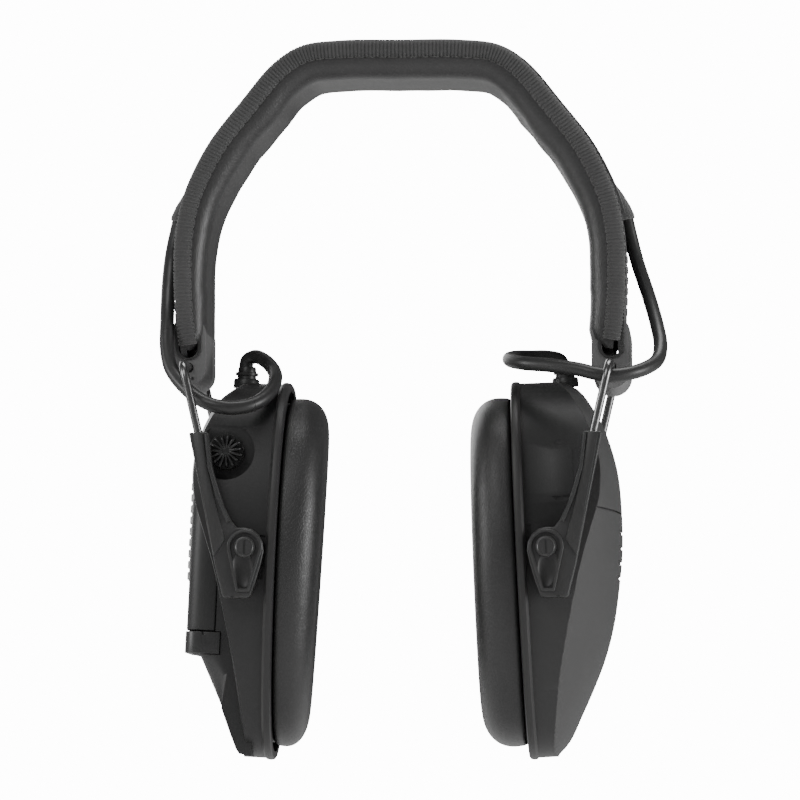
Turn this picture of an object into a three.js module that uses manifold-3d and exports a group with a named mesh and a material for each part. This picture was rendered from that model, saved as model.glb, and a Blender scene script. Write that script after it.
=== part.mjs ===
// Slim electronic earmuff: sprung padded headband, two wire forks, sliding arms and two tilting ear cups.
// Millimetres, +Z up, front of the wearer towards -Y. The origin is where the crown of the head meets the pad.

import * as THREE from 'three';
import { mergeVertices } from 'three/addons/utils/BufferGeometryUtils.js';
import Module from 'manifold-3d';

const wasm = await Module();
wasm.setup();

// ---- driving dimensions ----
const gap = 0.3; // air kept between neighbouring pieces

const band = { width: 42, cover: 1.3, padTop: 1.6, padBottom: 11.8, bindingWide: 2.2, bindingThick: 4.4 };
const bandPath = [
	[ 65.2, - 79 ], [ 66.4, - 70 ], [ 66.9, - 58 ], [ 66.6, - 47 ], [ 64.6, - 36 ], [ 60.8, - 26.5 ],
	[ 55.8, - 17.5 ], [ 46.8, - 6 ], [ 37.3, 5.2 ], [ 29.2, 10.3 ], [ 18, 11.8 ], [ 0, 11.9 ],
];
const bandSteps = 44;
const strip = { width: 26, thick: 1.0, ends: - 36 };
const springWire = { radius: 1.25, depth: 3.3, offset: 14, groove: 3.5 };
const innerCable = { radius: 1.3, endHeight: - 34 };

const hinge = { x: 62.9, z: - 85.4 }; // top run of each fork wire, and its fold axis
const bracket = { halfWidth: 5.2, top: - 70, bottom: - 90.6, length: 36, bore: 1.5 };
const bracketHole = { halfWidth: 2.8, top: - 72.8, bottom: - 82.6 };
const bracketNeck = { thick: 5, top: - 60, length: 34, socket: 1.5, socketDepth: 9 };

const fork = { radius: 1.25, halfSpan: 39.8, lean: 13, legLength: 49, corner: 6, bore: 1.45 };
const arm = { inner: 37.3, outer: 42.3, boreLength: 47 };
const armOutline = [
	[ 10.9, 33.9 ], [ 9.8, 23.9 ], [ 6.1, 12 ], [ 2.4, 5.4 ], [ 0, 5.6 ], [ - 2.8, 4.8 ], [ - 4.8, 2.9 ],
	[ - 5.5, 0 ], [ - 4.6, - 4.9 ], [ - 1.5, - 14.7 ], [ 6.35, - 14.7 ], [ 8.8, - 5.2 ], [ 16.5, 33.7 ],
];

const pivot = { x: 44.2, z: - 140, tilt: 2.7 };
const pin = { radius: 2, head: 3.15, hole: 2.4, headThick: 1.3, innerEnd: 30.5 };

// cup measures: u outward from the flange plane, v front to back, w up from the middle of the cup
const cup = { pivotU: 8.9, pivotW: 5, wall: 2.1, flangeThick: 2.6, sides: 28 };
const flange = { half: 42, top: 56.5, bottom: - 56.5 };
const plate = { near: - 0.3, far: - 2, half: 39.5, top: 54, bottom: - 54, speakerHole: 14 };
const ring = { near: - 2.3, far: - 3.5, half: 36, top: 50, bottom: - 50.5 };
const cushion = { near: - 3.8, far: - 12.6, half: 37.5, top: 51.5, bottom: - 52, bevel: 3 };
const earHole = { half: 17, high: 29 };
const foam = { near: - 2.3, far: - 5.8, inset: 0.7 };
const speaker = { rim: 18, rimThick: 1.5, basket: 13.4, depth: 8 };

const rightDome = [
	[ 0, 36.8, 56, - 56 ], [ 8, 36.5, 56, - 55.8 ], [ 12, 36.2, 56, - 52 ], [ 16.4, 35.6, 55.4, - 43.8 ],
	[ 20.3, 34.8, 52.8, - 36 ], [ 24.2, 33, 46.9, - 27 ], [ 27.2, 29.8, 40.5, - 17 ],
	[ 29.4, 23.5, 33, - 5 ], [ 30.6, 14, 26, 4 ],
];
const leftDome = [
	[ 0, 36.8, 56, - 56 ], [ 7, 36.5, 56, - 53 ], [ 12, 35.8, 55.8, - 40 ], [ 16, 34.4, 54.3, - 24 ],
	[ 20.5, 32.6, 50.6, - 5 ], [ 24.5, 28.6, 43.5, 8 ], [ 27.4, 22, 35.5, 18 ], [ 28.2, 14, 31, 22 ],
];
const skin = { from: 15.5, thick: 1 };
const fairing = { half: 15.6, from: 6 };
const fairingOutline = [
	[ 6, 54 ], [ 15, 53.6 ], [ 20.4, 50.4 ], [ 23.4, 46 ], [ 25.4, 41.2 ], [ 28.2, 30.5 ], [ 28.6, 27.8 ],
	[ 28.6, - 25.9 ], [ 23, - 25.9 ], [ 19.4, - 34 ], [ 15.6, - 42 ], [ 11.6, - 49.6 ], [ 8.6, - 52.6 ], [ 6, - 53 ],
];

const door = { half: 14.5, wall: 1.2, near: 17, far: 28.7, top: 27.3, bottom: - 19.2 };
const latch = { half: 14.5, near: 16.8, far: 29, top: - 19.5, bottom: - 25.5, corner: 1.5 };
const decor = { half: 12.4, thick: 0.8, top: 25.5, bottom: - 4.5 };
const tray = { half: 12.7, floor: 15.7, inner: 16.8, wall: 0.6, depth: 9 };
const cell = { radius: 5.2, length: 44.2, spacing: 6, terminal: 1.8 };
const knob = { u: 16.6, w: 33.4, radius: 4.4, bowl: 8.3, front: - 34.2, back: - 30.2, fins: 14 };
const pot = { radius: 3.8, front: - 26, back: - 20.5, shaft: 1.5 };
const board = { thick: 1.6, half: 22, top: 22, bottom: - 24, u: 9.4 };
const microphone = { radius: 2.6, length: 4.5, clearance: 0.4 };
const gland = { left: 14, right: 16, base: 4.3, neck: 3.2, tip: 2.7, from: 56.2, collar: 57.6, top: 60.8 };

const tube = { radius: 2.1, sides: 8, steps: 46 };
const leftTubeRoute = [
	[ - 69.2, 0, - 43.5 ], [ - 70.2, - 1, - 51 ], [ - 71.2, - 5, - 64.9 ], [ - 71.4, - 12, - 76.8 ],
	[ - 70.6, - 18.4, - 83.4 ], [ - 67.6, - 24.4, - 88.3 ], [ - 63.6, - 29, - 92 ], [ - 58, - 33, - 96 ],
	[ - 53.8, - 34.4, - 97.8 ], [ - 48.2, - 34, - 98.5 ], [ - 42.4, - 31.4, - 97.2 ], [ - 38, - 26, - 93.4 ],
	[ - 36.4, - 19, - 88.6 ], [ - 37.2, - 12, - 84.8 ], [ - 40.4, - 5.6, - 81.2 ], [ - 44, - 1.2, - 79.4 ],
	[ - 46.3, 0, - 80.6 ], [ - 46.6, 0, - 83.2 ],
];
const rightTubeRoute = [
	[ 69.2, 0, - 43.5 ], [ 70.2, - 1, - 52.4 ], [ 74, - 5, - 63.6 ], [ 76.5, - 11, - 72.7 ],
	[ 77.6, - 17, - 79.2 ], [ 76.8, - 22.5, - 83.8 ], [ 74, - 27.5, - 86.4 ], [ 69.3, - 31.8, - 88.4 ],
	[ 63.2, - 34, - 89.3 ], [ 58.4, - 34.4, - 88.7 ], [ 53.5, - 33, - 87.4 ], [ 44.8, - 29, - 85.9 ],
	[ 37.8, - 24, - 84.3 ], [ 33.6, - 18, - 82.4 ], [ 32.2, - 12, - 80.8 ], [ 33.8, - 6.8, - 79.4 ],
	[ 37.8, - 3, - 78.8 ], [ 42.8, - 1, - 78.6 ], [ 47, 0, - 79.6 ], [ 48.5, 0, - 83.2 ],
];

// ---- finishes ----
const finish = ( color, roughness, metalness = 0 ) => new THREE.MeshStandardMaterial( { color, roughness, metalness } );
const materials = {
	leather: () => finish( 0x2b2b2c, 0.5 ),
	tape: () => finish( 0x3a3a3b, 0.85 ),
	fabric: () => finish( 0x303031, 0.9 ),
	steel: () => finish( 0x8b8c8e, 0.28, 1 ),
	nylon: () => finish( 0x6f7072, 0.5 ),
	shell: () => finish( 0x252526, 0.45 ),
	soft: () => finish( 0x4a4a4c, 0.7 ),
	rubber: () => finish( 0x232324, 0.6 ),
	foam: () => finish( 0x1f1f20, 0.95 ),
	board: () => finish( 0x1f4a2c, 0.5 ),
	battery: () => finish( 0xb98a3a, 0.35, 0.6 ),
	panel: () => finish( 0x9a9b9d, 0.55 ),
};

// ---- solids ----
function toSolid( geometry ) {

	const bare = geometry.clone();
	bare.deleteAttribute( 'normal' );
	bare.deleteAttribute( 'uv' );
	const merged = mergeVertices( bare, 1e-4 );
	const corners = Uint32Array.from( merged.index.array );
	const vertProperties = Float32Array.from( merged.attributes.position.array );
	return new wasm.Manifold( new wasm.Mesh( { numProp: 3, vertProperties, triVerts: corners } ) );

}

function toGeometry( solid ) {

	const mesh = solid.getMesh();
	const geometry = new THREE.BufferGeometry();
	geometry.setAttribute( 'position', new THREE.BufferAttribute( mesh.vertProperties, 3 ) );
	geometry.setIndex( new THREE.BufferAttribute( mesh.triVerts, 1 ) );
	return geometry;

}

const cut = ( body, ...tools ) => toGeometry( tools.reduce( ( left, t ) => left.subtract( toSolid( t ) ), toSolid( body ) ) );
const join = ( ...bodies ) => toGeometry( bodies.map( toSolid ).reduce( ( all, b ) => all.add( b ) ) );
const common = ( a, b ) => toGeometry( toSolid( a ).intersect( toSolid( b ) ) );

function mirrored( geometry ) {

	const flipped = geometry.index ? geometry.clone() : mergeVertices( geometry.clone() );
	flipped.scale( - 1, 1, 1 );
	const corners = flipped.index.array;
	for ( let i = 0; i < corners.length; i += 3 ) [ corners[ i ], corners[ i + 1 ] ] = [ corners[ i + 1 ], corners[ i ] ];
	return flipped;

}

function box( low, high ) {

	const size = high.map( ( v, i ) => v - low[ i ] );
	const middle = high.map( ( v, i ) => ( v + low[ i ] ) / 2 );
	return new THREE.BoxGeometry( ...size ).translate( ...middle );

}

// a round bar along X, Y or Z, from one place on that axis to another
function bar( axis, radius, from, to, place, sides = 16, farRadius = radius ) {

	const geometry = new THREE.CylinderGeometry( farRadius, radius, to - from, sides );
	geometry.translate( 0, ( from + to ) / 2, 0 );
	if ( axis === 'x' ) geometry.rotateZ( - Math.PI / 2 );
	if ( axis === 'z' ) geometry.rotateX( Math.PI / 2 );
	return geometry.translate( ...place );

}

// an outline in X and Z pushed from one Y to another
function prismY( points, from, to ) {

	const shape = new THREE.Shape( points.map( ( [ x, z ] ) => new THREE.Vector2( x, z ) ) );
	const geometry = new THREE.ExtrudeGeometry( shape, { depth: to - from, bevelEnabled: false } );
	return geometry.rotateX( Math.PI / 2 ).translate( 0, to, 0 );

}

// a section swept along a smooth line through points
function sweep( points, shape, steps ) {

	const line = new THREE.CatmullRomCurve3( points.map( ( p ) => new THREE.Vector3( ...p ) ), false, 'centripetal' );
	return new THREE.ExtrudeGeometry( shape, { steps, extrudePath: line } );

}

function disc( radius, sides ) {

	const shape = new THREE.Shape();
	for ( let i = 0; i < sides; i ++ ) {

		const turn = ( i + 0.5 ) * 2 * Math.PI / sides;
		const place = [ radius * Math.cos( turn ), radius * Math.sin( turn ) ];
		if ( i === 0 ) shape.moveTo( ...place );
		else shape.lineTo( ...place );

	}

	return shape;

}

// closed rings of points joined into one skin with flat ends
function loft( rings ) {

	const count = rings[ 0 ].length;
	const corners = [];
	for ( let r = 0; r + 1 < rings.length; r ++ ) {

		for ( let k = 0; k < count; k ++ ) {

			const a = r * count + k;
			const b = r * count + ( k + 1 ) % count;
			corners.push( a, b, b + count, a, b + count, a + count );

		}

	}

	const last = ( rings.length - 1 ) * count;
	for ( let k = 1; k + 1 < count; k ++ ) corners.push( 0, k + 1, k, last, last + k, last + k + 1 );
	const geometry = new THREE.BufferGeometry();
	geometry.setAttribute( 'position', new THREE.Float32BufferAttribute( rings.flat( 2 ), 3 ) );
	geometry.setIndex( corners );
	return geometry;

}

// ---- cup outlines: a soft-cornered egg, narrower towards the jaw ----
function cupRing( u, half, top, bottom, sides = cup.sides ) {

	const squareness = 0.78;
	const jawTaper = 0.16;
	const middle = ( top + bottom ) / 2;
	const high = ( top - bottom ) / 2;
	const points = [];
	for ( let i = 0; i < sides; i ++ ) {

		const turn = ( i + 0.5 ) * 2 * Math.PI / sides;
		const c = Math.cos( turn );
		const s = Math.sin( turn );
		const across = Math.sign( c ) * Math.abs( c ) ** squareness;
		const up = Math.sign( s ) * Math.abs( s ) ** squareness;
		points.push( [ u, half * across * ( 1 - jawTaper * Math.max( 0, - up ) ), middle + high * up ] );

	}

	return points;

}

const cupSlab = ( from, to, half, top, bottom ) =>
	loft( [ cupRing( from, half, top, bottom ), cupRing( to, half, top, bottom ) ] );

function ovalHole( from, to, half, high ) {

	const sides = 24;
	const ringAt = ( u ) => Array.from( { length: sides }, ( _, i ) => {

		const turn = i * 2 * Math.PI / sides;
		return [ u, half * Math.cos( turn ), high * Math.sin( turn ) ];

	} );
	return loft( [ ringAt( from ), ringAt( to ) ] );

}

// ---- scene graph ----
const earmuff = new THREE.Group();

function put( parent, name, geometry, material ) {

	const mesh = new THREE.Mesh( geometry, material() );
	mesh.name = name;
	parent.add( mesh );
	return mesh;

}

// pieces of one side are drawn for +X; the other side gets their mirror image
const putSide = ( parent, side, name, geometry, material ) =>
	put( parent, `${side}_${name}`, side === 'left' ? mirrored( geometry ) : geometry, material );

// ---- headband ----
function bandLine( depth = 0, lowest = - Infinity ) {

	const half = bandPath.filter( ( [ , z ] ) => z >= lowest );
	const left = half.map( ( [ x, z ] ) => [ - x, 0, z ] );
	const right = half.slice( 0, - 1 ).reverse().map( ( [ x, z ] ) => [ x, 0, z ] );
	const line = new THREE.CatmullRomCurve3( [ ...left, ...right ].map( ( p ) => new THREE.Vector3( ...p ) ), false, 'centripetal' );
	if ( depth === 0 ) return line.points.map( ( p ) => p.toArray() );
	return line.points.map( ( p, i ) => {

		const along = line.getTangent( i / ( line.points.length - 1 ) );
		return [ p.x + along.z * depth, 0, p.z - along.x * depth ];

	} );

}

// band sections: first number towards the front, second number inwards from the outer face
function bandStrip( from, to, top, bottom ) {

	const shape = new THREE.Shape( [
		new THREE.Vector2( from, top ), new THREE.Vector2( to, top ),
		new THREE.Vector2( to, bottom ), new THREE.Vector2( from, bottom ),
	] );
	return sweep( bandLine(), shape, bandSteps );

}

function padSection() {

	const half = band.width / 2 - 1;
	const reach = springWire.groove / 2;
	const floor = springWire.depth + springWire.radius + gap;
	const points = [ [ - half, band.padTop ] ];
	for ( const middle of [ - springWire.offset, 0, springWire.offset ] ) {

		points.push( [ middle - reach, band.padTop ], [ middle - reach, floor ] );
		points.push( [ middle + reach, floor ], [ middle + reach, band.padTop ] );

	}

	points.push( [ half, band.padTop ], [ half, 6 ], [ half - 3, 9.4 ], [ half - 9, band.padBottom ] );
	points.push( [ 9 - half, band.padBottom ], [ 3 - half, 9.4 ], [ - half, 6 ] );
	return new THREE.Shape( points.map( ( p ) => new THREE.Vector2( ...p ) ) );

}

function capsule( halfWidth, top, bottom, grow = 0 ) {

	const radius = halfWidth + grow;
	const sides = 8;
	const points = [];
	for ( let i = 0; i <= sides; i ++ ) {

		const turn = Math.PI * i / sides;
		points.push( [ hinge.x + radius * Math.cos( turn ), top - halfWidth + radius * Math.sin( turn ) ] );

	}

	for ( let i = 0; i <= sides; i ++ ) {

		const turn = Math.PI * ( 1 + i / sides );
		points.push( [ hinge.x + radius * Math.cos( turn ), bottom + halfWidth + radius * Math.sin( turn ) ] );

	}

	return points;

}

function neckBox( grow ) {

	const middle = 63.4;
	const half = bracketNeck.thick / 2 + grow;
	const long = bracketNeck.length / 2 + grow;
	return box( [ middle - half, - long, bracket.top - 3 ], [ middle + half, long, bracketNeck.top + grow ] );

}

function bracketRoom() {

	const grow = gap + 0.1;
	const long = bracket.length / 2 + grow;
	return join( prismY( capsule( bracket.halfWidth, bracket.top, bracket.bottom, grow ), - long, long ), neckBox( grow ) );

}

function hingeBracket() {

	const long = bracket.length / 2;
	const body = join( prismY( capsule( bracket.halfWidth, bracket.top, bracket.bottom ), - long, long ), neckBox( 0 ) );
	const hole = prismY( capsule( bracketHole.halfWidth, bracketHole.top, bracketHole.bottom ), - long - 1, long + 1 );
	const bore = bar( 'y', bracket.bore, - long - 1, long + 1, [ hinge.x, 0, hinge.z ] );
	const tools = [ hole, bore ];
	for ( const y of [ - springWire.offset, springWire.offset ] ) {

		const from = bracketNeck.top - bracketNeck.socketDepth;
		tools.push( bar( 'z', bracketNeck.socket, from, bracketNeck.top + 1, [ 63.5, y, 0 ], 12 ) );

	}

	return cut( body, ...tools );

}

function springWireAt( y ) {

	const points = bandLine( springWire.depth, - 62 ).map( ( [ x, , z ] ) => [ x, y, z ] );
	const end = bracketNeck.top - bracketNeck.socketDepth + 1;
	points.unshift( [ - 63.5, y, end ], [ - 63.5, y, bracketNeck.top ] );
	points.push( [ 63.5, y, bracketNeck.top ], [ 63.5, y, end ] );
	return sweep( points, disc( springWire.radius, 8 ), 52 );

}

function headband() {

	const half = band.width / 2;
	const rooms = [ bracketRoom(), mirrored( bracketRoom() ) ];
	const edge = half + 0.6;
	const bindingFrom = edge - band.bindingWide;
	put( earmuff, 'headband_pad', cut( sweep( bandLine(), padSection(), bandSteps ), ...rooms ), materials.leather );
	const coverHalf = bindingFrom - gap;
	put( earmuff, 'headband_cover', cut( bandStrip( - coverHalf, coverHalf, 0, band.cover ), ...rooms ), materials.fabric );
	const clear = half - 1 + gap;
	put( earmuff, 'binding_front', bandStrip( clear, edge + 0.2, 0, band.bindingThick ), materials.tape );
	put( earmuff, 'binding_rear', bandStrip( - edge - 0.2, - clear, 0, band.bindingThick ), materials.tape );
	put( earmuff, 'headband_wire_front', springWireAt( - springWire.offset ), materials.steel );
	put( earmuff, 'headband_wire_rear', springWireAt( springWire.offset ), materials.steel );
	const cableLine = bandLine( springWire.depth, innerCable.endHeight );
	put( earmuff, 'headband_cable', sweep( cableLine, disc( innerCable.radius, 8 ), 28 ), materials.rubber );
	const stripShape = new THREE.Shape( [
		new THREE.Vector2( - strip.width / 2, - gap - strip.thick ), new THREE.Vector2( strip.width / 2, - gap - strip.thick ),
		new THREE.Vector2( strip.width / 2, - gap ), new THREE.Vector2( - strip.width / 2, - gap ),
	] );
	put( earmuff, 'cable_cover_strip', sweep( bandLine( 0, strip.ends ), stripShape, 32 ), materials.fabric );
	for ( const side of [ 'left', 'right' ] ) {

		putSide( earmuff, side, 'hinge_bracket', hingeBracket(), materials.nylon );
		putSide( earmuff, side, 'cable_exit_flap', exitFlap(), materials.fabric );

	}

}

// the pointed end of the strip, lifted by the cable tube that comes out below it
function exitFlap() {

	const outline = [ [ 66.2, - 36.6 ], [ 67.2, - 36.4 ], [ 69, - 39.4 ], [ 68.4, - 41.6 ], [ 67.2, - 41.2 ], [ 67.1, - 39 ] ];
	return prismY( outline, - 8, 8 );

}

// ---- forks and arms ----
function forkWire() {

	const lean = THREE.MathUtils.degToRad( fork.lean );
	const down = ( distance, y ) => [ hinge.x - Math.sin( lean ) * distance, y, hinge.z - Math.cos( lean ) * distance ];
	const line = new THREE.CurvePath();
	const add = ( a, b ) => line.add( new THREE.LineCurve3( new THREE.Vector3( ...a ), new THREE.Vector3( ...b ) ) );
	const bend = ( a, b, c ) => {

		const ends = [ a, b, c ].map( ( p ) => new THREE.Vector3( ...p ) );
		line.add( new THREE.QuadraticBezierCurve3( ...ends ) );

	};
	const top = ( y ) => [ hinge.x, y, hinge.z ];
	const [ y, c ] = [ fork.halfSpan, fork.corner ];
	add( down( fork.legLength, - y ), down( c, - y ) );
	bend( down( c, - y ), top( - y ), top( c - y ) );
	add( top( c - y ), top( y - c ) );
	bend( top( y - c ), top( y ), down( c, y ) );
	add( down( c, y ), down( fork.legLength, y ) );
	return new THREE.ExtrudeGeometry( disc( fork.radius, 8 ), { steps: 56, extrudePath: line } );

}

function legBore( y ) {

	const lean = THREE.MathUtils.degToRad( fork.lean );
	const start = 18;
	const geometry = new THREE.CylinderGeometry( fork.bore, fork.bore, arm.boreLength, 12 );
	geometry.translate( 0, - start - arm.boreLength / 2, 0 ).rotateX( Math.PI / 2 );
	return geometry.rotateY( lean ).translate( hinge.x, y, hinge.z );

}

function slidingArm( direction ) {

	const from = direction < 0 ? - arm.outer : arm.inner;
	const to = direction < 0 ? - arm.inner : arm.outer;
	const outline = armOutline.map( ( [ x, z ] ) => [ x + pivot.x, z + pivot.z ] );
	const hole = bar( 'y', pin.hole, from - 1, to + 1, [ pivot.x, 0, pivot.z ] );
	return cut( prismY( outline, from, to ), hole, legBore( direction * fork.halfSpan ) );

}

function forksAndArms( side ) {

	putSide( earmuff, side, 'fork_wire', forkWire(), materials.steel );
	putSide( earmuff, side, 'front_arm', slidingArm( - 1 ), materials.shell );
	putSide( earmuff, side, 'rear_arm', slidingArm( 1 ), materials.shell );

}

// ---- ear cups ----
const inset = ( sections, by ) => sections.map( ( [ u, half, top, bottom ] ) =>
	[ u - by * Math.min( 1, Math.max( 0, u - 8 ) / 12 ), half - by, top - by, bottom + by ] );
const dome = ( sections ) => loft( sections.map( ( s ) => cupRing( ...s ) ) );

function hollowOf( sections ) {

	const inner = inset( sections, cup.wall );
	return loft( [ cupRing( - 1, ...inner[ 0 ].slice( 1 ) ), ...inner.slice( 1 ).map( ( s ) => cupRing( ...s ) ) ] );

}

const pinHoles = () => bar( 'y', pin.hole, - 50, 50, [ cup.pivotU, 0, cup.pivotW ], 12 );

function outerBody( sections ) {

	return join( dome( sections ), cupSlab( 0, cup.flangeThick, flange.half, flange.top, flange.bottom ) );

}

function rightShell() {

	const inner = rightDome.map( ( s, i ) => i < 3 ? s : inset( [ s ], skin.thick + gap )[ 0 ] );
	const microphoneHole = bar( 'y', microphone.radius + microphone.clearance, - 40, - 20, [ gland.right - 1.5, 0, 34 ], 12 );
	return cut( outerBody( inner ), hollowOf( inner ), pinHoles(), microphoneHole );

}

// rubberised outer face, carried on the shell
function rightSkin() {

	const inner = inset( rightDome, skin.thick );
	const under = rightDome.map( ( s, i ) => i < 3 ? s : inner[ i ] );
	const whole = cut( dome( rightDome ), dome( under ) );
	return common( whole, box( [ skin.from + 2, - 60, - 70 ], [ 40, 60, 70 ] ) );

}

const fairingBody = ( grow ) => {

	const half = fairing.half + grow;
	return prismY( fairingOutline.map( ( [ u, w ] ) => [ u + grow, w ] ), - half, half );

};

function leftShell() {

	const bowl = common( bar( 'y', knob.bowl + 1.8, knob.front - 3, knob.back + 2.2, [ knob.u, 0, knob.w ], 24 ), dome( leftDome ) );
	const body = join( cut( join( outerBody( leftDome ), fairingBody( 0 ) ), hollowOf( leftDome ) ), bowl );
	const bowlCut = bar( 'y', knob.bowl, - 50, knob.back + 0.6, [ knob.u, 0, knob.w ], 24 );
	const shaftHole = bar( 'y', pot.shaft + 0.5, - 50, - 20, [ knob.u, 0, knob.w ], 12 );
	// the floor of the bay slopes away from the swinging end of the door
	const bayOutline = [ [ door.near - 2, latch.bottom - gap ], [ 26, latch.bottom - 2 ], [ 40, latch.bottom - 2 ],
		[ 40, door.top + 0.5 ], [ door.near - 2, door.top + 0.5 ] ];
	const bay = prismY( bayOutline, - door.half - 0.5, door.half + 0.5 );
	const hollowFairing = box( [ 4, - fairing.half + 1.8, - 40 ], [ 14.9, fairing.half - 1.8, 44 ] );
	const soundHole = bar( 'x', microphone.radius + microphone.clearance, 10, 40, [ 0, 0, 35 ], 12 );
	return cut( body, bowlCut, shaftHole, bay, hollowFairing, soundHole, pinHoles() );

}

function earCushion() {

	const b = cushion.bevel;
	const mid = cushion.far + b;
	const slim = ( by ) => [ cushion.half - by, cushion.top - by, cushion.bottom + by ];
	const body = loft( [
		cupRing( cushion.far, ...slim( b ) ), cupRing( cushion.far + b * 0.3, ...slim( b * 0.3 ) ),
		cupRing( mid, ...slim( 0 ) ), cupRing( cushion.near, ...slim( 0 ) ),
	] );
	const mouth = ovalHole( cushion.far - 1, cushion.near + 1, earHole.half, earHole.high );
	return cut( body, mouth );

}

const platePiece = ( p, tool ) => cut( cupSlab( p.far, p.near, p.half, p.top, p.bottom ), tool );

function speakerUnit() {

	const profile = [ [ 0, 0.2 ], [ speaker.rim, 0.2 ], [ speaker.rim, speaker.rimThick ], [ speaker.basket, 2.6 ],
		[ speaker.basket * 0.8, speaker.depth ], [ 0, speaker.depth ] ];
	const lathe = new THREE.LatheGeometry( profile.map( ( p ) => new THREE.Vector2( ...p ) ), 24 );
	return lathe.rotateZ( - Math.PI / 2 );

}

function pivotPin( direction ) {

	const out = arm.outer + gap;
	const profile = [ [ 0, pin.innerEnd ], [ 3, pin.innerEnd ], [ 3, pin.innerEnd + 1.7 ], [ pin.radius, pin.innerEnd + 1.7 ],
		[ pin.radius, out ], [ pin.head, out ], [ pin.head, out + pin.headThick * 0.7 ],
		[ pin.head - 0.5, out + pin.headThick ], [ 0, out + pin.headThick ] ];
	const lathe = new THREE.LatheGeometry( profile.map( ( p ) => new THREE.Vector2( ...p ) ), 20 );
	if ( direction < 0 ) lathe.rotateX( Math.PI );
	return lathe.translate( cup.pivotU, 0, cup.pivotW );

}

function cableGland( u ) {

	const profile = [ [ 0, gland.from ], [ gland.base, gland.from ], [ gland.base, gland.collar ], [ gland.neck, gland.collar + 0.5 ],
		[ gland.tip, gland.top ], [ 0, gland.top ] ];
	const lathe = new THREE.LatheGeometry( profile.map( ( p ) => new THREE.Vector2( ...p ) ), 16 );
	return lathe.rotateX( Math.PI / 2 ).translate( u, 0, 0 );

}

function commonCupPieces( group, side ) {

	const earTool = ovalHole( - 20, 5, earHole.half, earHole.high );
	const speakerTool = bar( 'x', plate.speakerHole, - 5, 5, [ 0, 0, 0 ], 24 );
	const inlay = ovalHole( foam.far, foam.near, earHole.half - foam.inset, earHole.high - foam.inset );
	putSide( group, side, 'baffle_plate', platePiece( plate, speakerTool ), materials.shell );
	putSide( group, side, 'cushion_ring', platePiece( ring, earTool ), materials.shell );
	putSide( group, side, 'ear_cushion', earCushion(), materials.leather );
	putSide( group, side, 'foam_insert', inlay, materials.foam );
	putSide( group, side, 'speaker', speakerUnit(), materials.shell );
	putSide( group, side, 'front_pivot_pin', pivotPin( - 1 ), materials.shell );
	putSide( group, side, 'rear_pivot_pin', pivotPin( 1 ), materials.shell );
	putSide( group, side, 'cable_gland', cableGland( gland[ side ] ), materials.rubber );

}

function leftCup( group ) {

	const side = 'left';
	commonCupPieces( group, side );
	putSide( group, side, 'cup_shell', leftShell(), materials.shell );
	putSide( group, side, 'circuit_board', circuitBoard( - 18 ), materials.board );
	putSide( group, side, 'sound_absorber', box( [ 3, - 16, - 40 ], [ 8, 16, - 25.5 ] ), materials.foam );
	putSide( group, side, 'microphone', bar( 'x', microphone.radius, 21, 26.5, [ 0, 0, 35 ], 12 ), materials.rubber );
	const potBody = join(
		bar( 'y', pot.radius, pot.front, pot.back, [ knob.u, 0, knob.w ] ),
		bar( 'y', pot.shaft, knob.back + 0.3, pot.front + 1, [ knob.u, 0, knob.w ], 12 ),
	);
	put( group, 'volume_control', mirrored( potBody ), materials.steel );
	put( group, 'volume_knob', mirrored( volumeKnob() ), materials.shell );
	batteryBay( group );

}

function circuitBoard( front ) {

	return box( [ board.u, front, board.bottom ], [ board.u + board.thick, board.half, board.top ] );

}

function volumeKnob() {

	const body = bar( 'y', knob.radius * 0.55, knob.front, knob.back, [ knob.u, 0, knob.w ], 14 );
	const fins = Array.from( { length: knob.fins / 2 }, ( _, i ) => {

		const fin = box( [ - knob.radius, knob.front, - 0.35 ], [ knob.radius, knob.back, 0.35 ] );
		return fin.rotateY( i * 2 * Math.PI / knob.fins ).translate( knob.u, 0, knob.w );

	} );
	return join( body, ...fins );

}

function batteryBay( group ) {

	const low = door.bottom + 0.2;
	const high = door.top - 0.4;
	const floor = box( [ tray.floor, - tray.half, low ], [ tray.inner, tray.half, high ] );
	const lid = box( [ tray.floor, - tray.half, high - tray.wall ], [ tray.floor + tray.depth, tray.half, high ] );
	const sole = box( [ tray.floor, - tray.half, low ], [ tray.floor + tray.depth, tray.half, low + tray.wall ] );
	put( group, 'battery_tray', mirrored( join( floor, lid, sole ) ), materials.shell );
	const start = low + tray.wall + gap;
	for ( const [ name, direction ] of [ [ 'battery_front', - 1 ], [ 'battery_rear', 1 ] ] ) {

		const place = [ tray.inner + gap + cell.radius, direction * cell.spacing, 0 ];
		const can = bar( 'z', cell.radius, start, start + cell.length - 1.4, place, 16 );
		const terminal = bar( 'z', cell.terminal, start, start + cell.length, place, 12 );
		put( group, name, mirrored( join( can, terminal ) ), materials.battery );

	}

	const outer = box( [ door.near, - door.half, door.bottom ], [ door.far, door.half, door.top ] );
	const hollow = box( [ 0, - door.half + door.wall, - 60 ], [ door.far - door.wall, door.half - door.wall, 60 ] );
	const doorBody = common( cut( outer, hollow ), doorCorners() );
	put( group, 'battery_door', mirrored( doorBody ), materials.shell );
	const face = door.far + gap;
	const panel = box( [ face, - decor.half, decor.bottom ], [ face + decor.thick, decor.half, decor.top ] );
	put( group, 'decor_panel', mirrored( panel ), materials.panel );
	const bolt = box( [ latch.near, - latch.half, latch.bottom ], [ latch.far, latch.half, latch.top ] );
	put( group, 'battery_latch', mirrored( bolt ), materials.shell );

}

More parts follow.
